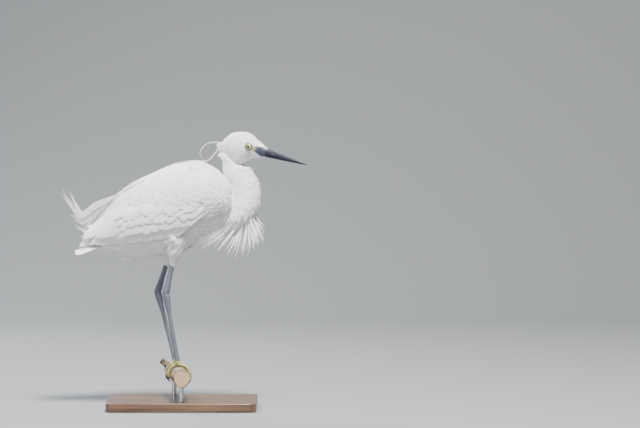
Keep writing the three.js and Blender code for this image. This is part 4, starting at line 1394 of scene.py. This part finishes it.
def legTubes(leg):
    hip, ankle, sole = np.array(leg["hip"], float), np.array(leg["ankle"], float), solePoint(leg)
    tibia, tarsus, knob = legSizes["tibia"], legSizes["tarsus"], legSizes["ankle"]
    upper = [lerp(hip, ankle, t) for t in (0.3, 0.6, 0.86)] + [ankle, lerp(ankle, sole, 0.02)]
    lower = [lerp(ankle, hip, 0.03), ankle] + [lerp(ankle, sole, t) for t in (0.12, 0.5, 0.9)] + [sole]
    upperRadii = [*np.array([1, 1, 1, 1, 1.02, 1.08]) * tibia, *np.array([0.86, 0.98, 0.9]) * knob]
    lowerRadii = [*np.array([0.8, 0.98, 0.84]) * knob,
                  *np.array([1.3, 1.05, 1, 1, 1, 1, 1, 1, 1.02, 1.1, 1.2, 1.3]) * tarsus]
    return {"shank": tubeSolid(upper, upperRadii, 28, 90, bumps=shields),
            "tarsus": tubeSolid(lower, lowerRadii, 28, 220, bumps=shields)}


for label, leg in legs.items():
    for part, (points, faces, uv) in legTubes(leg).items():
        piece = makePiece(part + "Skin_" + label, points * mm, faces, legMaterial, uv)
        settle(piece, "leg_skin", part + "_" + label)


# Feet: four padded toes each, closed round the perch, with claws of their own
toes = [
    # first and last turn round the perch, drift along it, joints
    (-14, 128, 1, 4), (-10, 104, -11, 3), (-10, 110, 14, 4), (-8, -98, -3, 2),
]
toeGap = 0.3


def toeSolids(leg):
    flesh, claws = Heap(), Heap()
    for first, last, drift, joints in toes:
        t = np.linspace(0, 1, 9)
        radius = lerp(legSizes["toe"], legSizes["toeTip"], t)
        spot = leg["footAlong"] + leg["side"] * drift * np.sqrt(t)
        turn = np.radians(lerp(first, last, t))
        path = perchPoint(spot, turn, perch["radius"] + radius + toeGap + 0.2)

        def pads(s, turn, joints=joints):
            inside = np.clip(-np.cos(turn), 0, 1)
            swell = np.abs(np.sin(np.pi * (joints * s + 0.12)))
            ridge = np.abs(np.sin(np.pi * joints * 4.5 * s)) ** 0.6
            return 1 - 0.05 * (1 - swell) * inside + 0.045 * ridge * (1 - inside) - 0.03

        points, faces, uv = tubeSolid(path, radius, 22, 84, up=path[4] - perchPoint(leg["footAlong"], 0, 0),
                                      bumps=pads)
        flesh.add(points * mm, faces, uv)
        curl = legSizes["claw"] / (perch["radius"] + legSizes["toe"]) * np.sign(last - first)
        reach = math.radians(last) + curl * np.linspace(-0.12, 1, 7)
        out = np.interp(np.linspace(0, 1, 7), [0, 0.4, 1], [0.35, 1.5, 0.8])
        path = perchPoint(leg["footAlong"] + leg["side"] * drift, reach,
                          perch["radius"] + legSizes["toeTip"] + toeGap + out)
        points, faces, uv = tubeSolid(path, legSizes["clawRadii"], 14, 24)
        claws.add(points * mm, faces, uv)
    sole = solePoint(leg)
    top = sole + unit(np.array(leg["ankle"]) - sole) * legSizes["soleHigh"]
    path = [top, lerp(top, sole, 0.5), sole - [0, 0, 0.6]]
    points, faces, uv = tubeSolid(path, legSizes["soleRadii"], 24, 20)
    flesh.add(points * mm, faces, uv)
    return flesh, claws


for label, leg in legs.items():
    flesh, claws = toeSolids(leg)
    for name, heap, material, slotName in (("footSkin_", flesh, footMaterial, "foot_skin"),
                                           ("claws_", claws, clawMaterial, "bill")):
        settle(heap.piece(name + label, material), slotName, "foot_" + label)
print("legs ready")


# Perch: a weathered cut branch, its bark displaced in the mesh, with lichen and sawn ends
def barkHeight(spot, turn):
    ridges = 0.55 * np.sin(turn * 5 + 0.31 * spot + np.sin(spot * 0.17) * 2)
    ridges = ridges * np.sin(spot * 0.23 + 2 * np.sin(turn * 2))
    ridges = ridges + 0.35 * np.sin(turn * 11 - 0.12 * spot + 1.3 * np.sin(spot * 0.41))
    return ridges + 0.18 * np.sin(turn * 23 + spot * 0.9) * np.sin(spot * 1.7 - turn * 3)


def barkLook(t, place):
    drawn = t.scaled(place, (1.0, 0.22, 1.0))
    grain, coarse, fine = t.noise(drawn, 420, 5.0, 0.65), t.noise(drawn, 90, 4.0), t.noise(place, 1500, 3.0)
    bark = t.ramp(grain, [(0.25, (0.030, 0.024, 0.018)), (0.5, (0.13, 0.105, 0.08)),
                          (0.75, (0.25, 0.22, 0.18))])
    bark = t.mix(t.smooth(coarse, 0.5, 0.7) * 0.5, bark, (0.22, 0.21, 0.19))
    patch, crust = t.noise(place, 70, 5.0, 0.7), t.noise(place, 800, 3.0)
    lichen = t.smooth(patch + crust * 0.12, 0.60, 0.66)
    yellow = t.mix(crust, (0.42, 0.27, 0.03), (0.62, 0.50, 0.12))
    pale = t.smooth(t.noise(place, 110, 5.0, 0.7) + crust * 0.1, 0.66, 0.70)
    colour = t.mix(pale * 0.7, t.mix(lichen, bark, yellow), (0.42, 0.44, 0.38))
    return {"Base Color": colour, "Roughness": 0.85 - grain * 0.1,
            "height": grain + fine * 0.25 + lichen * 0.4, "strength": 0.8, "distance": 0.0012}


def endLook(t, place):
    u, v = t.onVane()
    wobble = t.noise(place, 60, 2.0)
    rings = (((u ** 0.8) * 8 + wobble * 1.2) * 6.2832).math("SINE") * 0.5 + 0.5
    rays = t.noise(t.join(u * 1.5, v * 60, 0.0), 3.0, 2.0)
    saw = t.noise(t.scaled(place, (1, 1, 3)), 900, 2.0)
    wood = t.mix(rings * 0.7 + rays * 0.2, (0.50, 0.37, 0.22), (0.30, 0.20, 0.11))
    rim = t.smooth(u, 0.84, 0.88)
    return {"Base Color": t.mix(rim, wood, (0.07, 0.05, 0.035)), "Roughness": 0.7,
            "height": rings * 0.2 + saw, "strength": 0.2, "distance": 0.0005}


barkMaterial = makeMaterial("barkLichen", barkLook)
endMaterial = makeMaterial("sawnEnd", endLook)


branch = {
    # the bark is smoother where the feet hold it, and its edge is worn at the cuts
    "stance": 16, "held": (16, 26), "heldRough": 0.35, "sunk": 0.45, "worn": 0.9, "wornOver": 1.2,
    "endInside": 1.5, "endOut": 0.12, "stubTurn": -0.9, "stubRoot": 7, "stubLean": 4,
    "stubRadii": (7.6, 6.2, 5.4, 5.0, 4.7, 4.6, 4.3),
}


def stubBumps(t, turn):
    return 1 + 0.05 * np.sin(turn * 4 + 9 * t) + 0.04 * np.sin(turn * 9 - 14 * t)


def perchMeshes():
    sides, rows = 120, 300
    end = perch["length"] / 2
    spot = np.linspace(-end, end, rows)[:, None]
    turn = allRound(sides)
    held = 1 - smoothStep(np.abs(np.abs(spot) - branch["stance"]), *branch["held"])
    rough = barkHeight(spot, turn) * lerp(1.0, branch["heldRough"], held) - branch["sunk"]
    worn = branch["worn"] * (1 - smoothStep(end - np.abs(spot), 0, branch["wornOver"]))
    bark, ends = Heap(), Heap()
    points = perchPoint(spot, turn, perch["radius"] + rough - worn)
    bark.add(points.reshape(-1, 3) * mm, ringFaces(rows, sides))
    angle = math.radians(perch["turn"])
    outward = branch["endOut"] * np.array([-math.sin(angle), math.cos(angle), 0])
    for way in (-1, 1):
        t = np.linspace(0.02, 1, 14)[:, None]
        rim = perch["radius"] + barkHeight(way * end, turn) - branch["endInside"]
        disc = perchPoint(way * end, turn, t * rim) + way * outward
        uv = together(t * rim / perch["radius"], turn / (2 * np.pi))
        faces = [f if way > 0 else f[::-1] for f in ringFaces(14, sides)[:-1]]
        ends.add(disc.reshape(-1, 3) * mm, faces, uv.reshape(-1, 2))
    first = perchPoint(perch["stubAlong"], branch["stubTurn"], perch["radius"] - branch["stubRoot"])
    last = perchPoint(perch["stubAlong"] + branch["stubLean"], branch["stubTurn"],
                      perch["radius"] + perch["stubLength"] - 0.4)
    path = [first, lerp(first, last, 0.5), last]
    points, faces, uv = tubeSolid(path, branch["stubRadii"], 40, 50, bumps=stubBumps)
    bark.add(points * mm, faces, uv)
    return bark, ends


bark, ends = perchMeshes()
settle(bark.piece("perchBark", barkMaterial), "bark", "perch")
settle(ends.piece("perchEnds", endMaterial, closed=False), "bark", "perch")


# Display stand: a flat hardwood base and two rods
stand = {"long": 232.0, "wide": 150.0, "high": 14.0, "corner": 12.0, "bevel": 1.5, "rod": 4.0}


def woodLook(t, place):
    drawn = t.scaled(place, (0.06, 1.0, 1.0))
    warp = t.noise(t.scaled(place, (0.3, 1.0, 1.0)), 14, 3.0)
    bands = t.noise(drawn, 160, 4.0, 0.55) + warp * 0.4
    pores = t.noise(t.scaled(place, (0.05, 1.0, 1.0)), 1600, 2.0)
    colour = t.ramp(bands, [(0.45, (0.045, 0.024, 0.013)), (0.7, (0.11, 0.06, 0.032)),
                            (0.95, (0.17, 0.10, 0.055))])
    return {"Base Color": t.mix(t.smooth(pores, 0.62, 0.7) * 0.6, colour, (0.02, 0.012, 0.008)),
            "Roughness": bands * 0.15 + 0.28, "height": pores, "strength": 0.1, "distance": 0.0002}


woodMaterial = makeMaterial("baseWood", woodLook, **{"Coat Weight": 0.3, "Coat Roughness": 0.15})


def roundedOutline(long, wide, corner, each):
    points = []
    for k, (sx, sy) in enumerate([(1, 1), (-1, 1), (-1, -1), (1, -1)]):
        turn = np.linspace(k * np.pi / 2, (k + 1) * np.pi / 2, each)
        points.append(np.stack([sx * (long / 2 - corner) + corner * np.cos(turn),
                                sy * (wide / 2 - corner) + corner * np.sin(turn)], -1))
    return np.concatenate(points)


def baseSolid():
    quarter = np.linspace(0, np.pi / 2, 7)
    levels = [(stand["bevel"] * (1 - math.sin(a)), stand["bevel"] * (1 - math.cos(a))) for a in quarter]
    levels += [(inset, stand["high"] - z) for inset, z in reversed(levels)]
    rings = []
    for inset, z in levels:
        ring = roundedOutline(stand["long"] - 2 * inset, stand["wide"] - 2 * inset, stand["corner"] - inset,
                              14)
        rings.append(np.hstack([ring, np.full((len(ring), 1), z)]))
    return np.concatenate(rings), ringFaces(len(levels), 56)


points, faces = baseSolid()
settle(makePiece("displayBase", points * mm, faces, woodMaterial, smooth=False), "base_wood", "stand_base")


def steelLook(t, place):
    brushed = t.noise(t.scaled(place, (1, 1, 0.03)), 2500, 3.0)
    return {"Base Color": (0.56, 0.57, 0.58), "Roughness": brushed * 0.2 + 0.22, "height": brushed,
            "strength": 0.08, "distance": 0.0002}


steelMaterial = makeMaterial("rodSteel", steelLook, Metallic=1.0)
for name in ("stand_rod_near", "stand_rod_far"):
    low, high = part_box(name)
    centre, radius = (low + high) / 2, stand["rod"] * mm
    turn = allRound(48)
    x, y = centre.x + radius * np.cos(turn), centre.y + radius * np.sin(turn)
    rings = [np.stack([x, y, np.full(48, z)], -1) for z in (low.z, high.z)]
    piece = makePiece("steel_" + name, np.concatenate(rings), ringFaces(2, 48), steelMaterial, smooth=False)
    settle(piece, "rod_steel", name)
print("perch and stand ready")


# Studio: a pale sweep, soft lights and the camera

studio = {"lens": 200.0, "sensor": 36.0, "width": 0.992, "elevation": 3.0, "middle": (0.2139, 0.0, 0.3016),
          "sweepFront": -3.5, "sweepSide": 5.0, "bendStart": 1.6, "bend": 0.9, "wallTop": 3.5}


# The wall is clear when it is seen from behind, so that the model shows from there too
def sweepLook(t, place):
    seenFromBehind = t.node("ShaderNodeNewGeometry").out("Backfacing")
    return {"Base Color": (0.22, 0.23, 0.24), "Roughness": 0.9, "Alpha": 1 - seenFromBehind}


def floorSweep():
    start, bend = studio["bendStart"], studio["bend"]
    curve = [(start + bend * math.sin(a), bend * (1 - math.cos(a))) for a in np.linspace(0, np.pi / 2, 16)]
    profile = [(studio["sweepFront"], 0.0)] + curve + [(start + bend, studio["wallTop"])]
    points = [(x, y, z) for y, z in profile for x in (-studio["sweepSide"], studio["sweepSide"])]
    faces = [(2 * k, 2 * k + 1, 2 * k + 3, 2 * k + 2) for k in range(len(profile) - 1)]
    return makePiece("studioSweep", points, faces, makeMaterial("studioPaper", sweepLook), closed=False)


floorSweep()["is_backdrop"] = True


lamps = {
    # name: place, what it shines on, size, power, colour
    "keyLight": ((0.35, -1.15, 2.4), (0, 0, 0.28), 0.6, 245, (1.0, 0.98, 0.95)),
    "fillLight": ((-1.7, -1.8, 0.7), (0, 0, 0.25), 1.6, 30, (0.88, 0.94, 1.0)),
    "rimLight": ((-0.9, 1.3, 1.5), (0, 0, 0.3), 0.9, 55, (0.95, 0.98, 1.0)),
}
for name, (place, aim, size, power, colour) in lamps.items():
    light = bpy.data.lights.new(name, "AREA")
    light.shape, light.size, light.energy, light.color = "DISK", size, power, colour
    facing = (Vector(aim) - Vector(place)).to_track_quat("-Z", "Y").to_matrix().to_4x4()
    addObject(name, light).matrix_world = Matrix.Translation(place) @ facing

world = bpy.data.worlds.new("studioAir")
world.use_nodes = True
background = world.node_tree.nodes["Background"]
background.inputs["Color"].default_value = (0.80, 0.86, 0.95, 1)
background.inputs["Strength"].default_value = 0.32
bpy.context.scene.world = world

camera = bpy.data.cameras.new("camera")
camera.lens, camera.sensor_width, camera.clip_end = studio["lens"], studio["sensor"], 50
distance = studio["width"] * studio["lens"] / studio["sensor"]
tilt = math.radians(studio["elevation"])
cameraObject = addObject("camera", camera)
cameraObject.location = Vector(studio["middle"]) + distance * Vector((0, -math.cos(tilt), math.sin(tilt)))
cameraObject.rotation_euler = (math.pi / 2 - tilt, 0, 0)
bpy.context.scene.camera = cameraObject

# The shapes that were set on the skin and the plumes aren't pieces of their own
for shapes in (tuftShapes, fineShapes, barbShapes):
    for shape in list(shapes.objects):
        bpy.data.objects.remove(shape)
    bpy.data.collections.remove(shapes)

sizes = {"cad": cadBox, "visual": [list(corner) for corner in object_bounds()]}
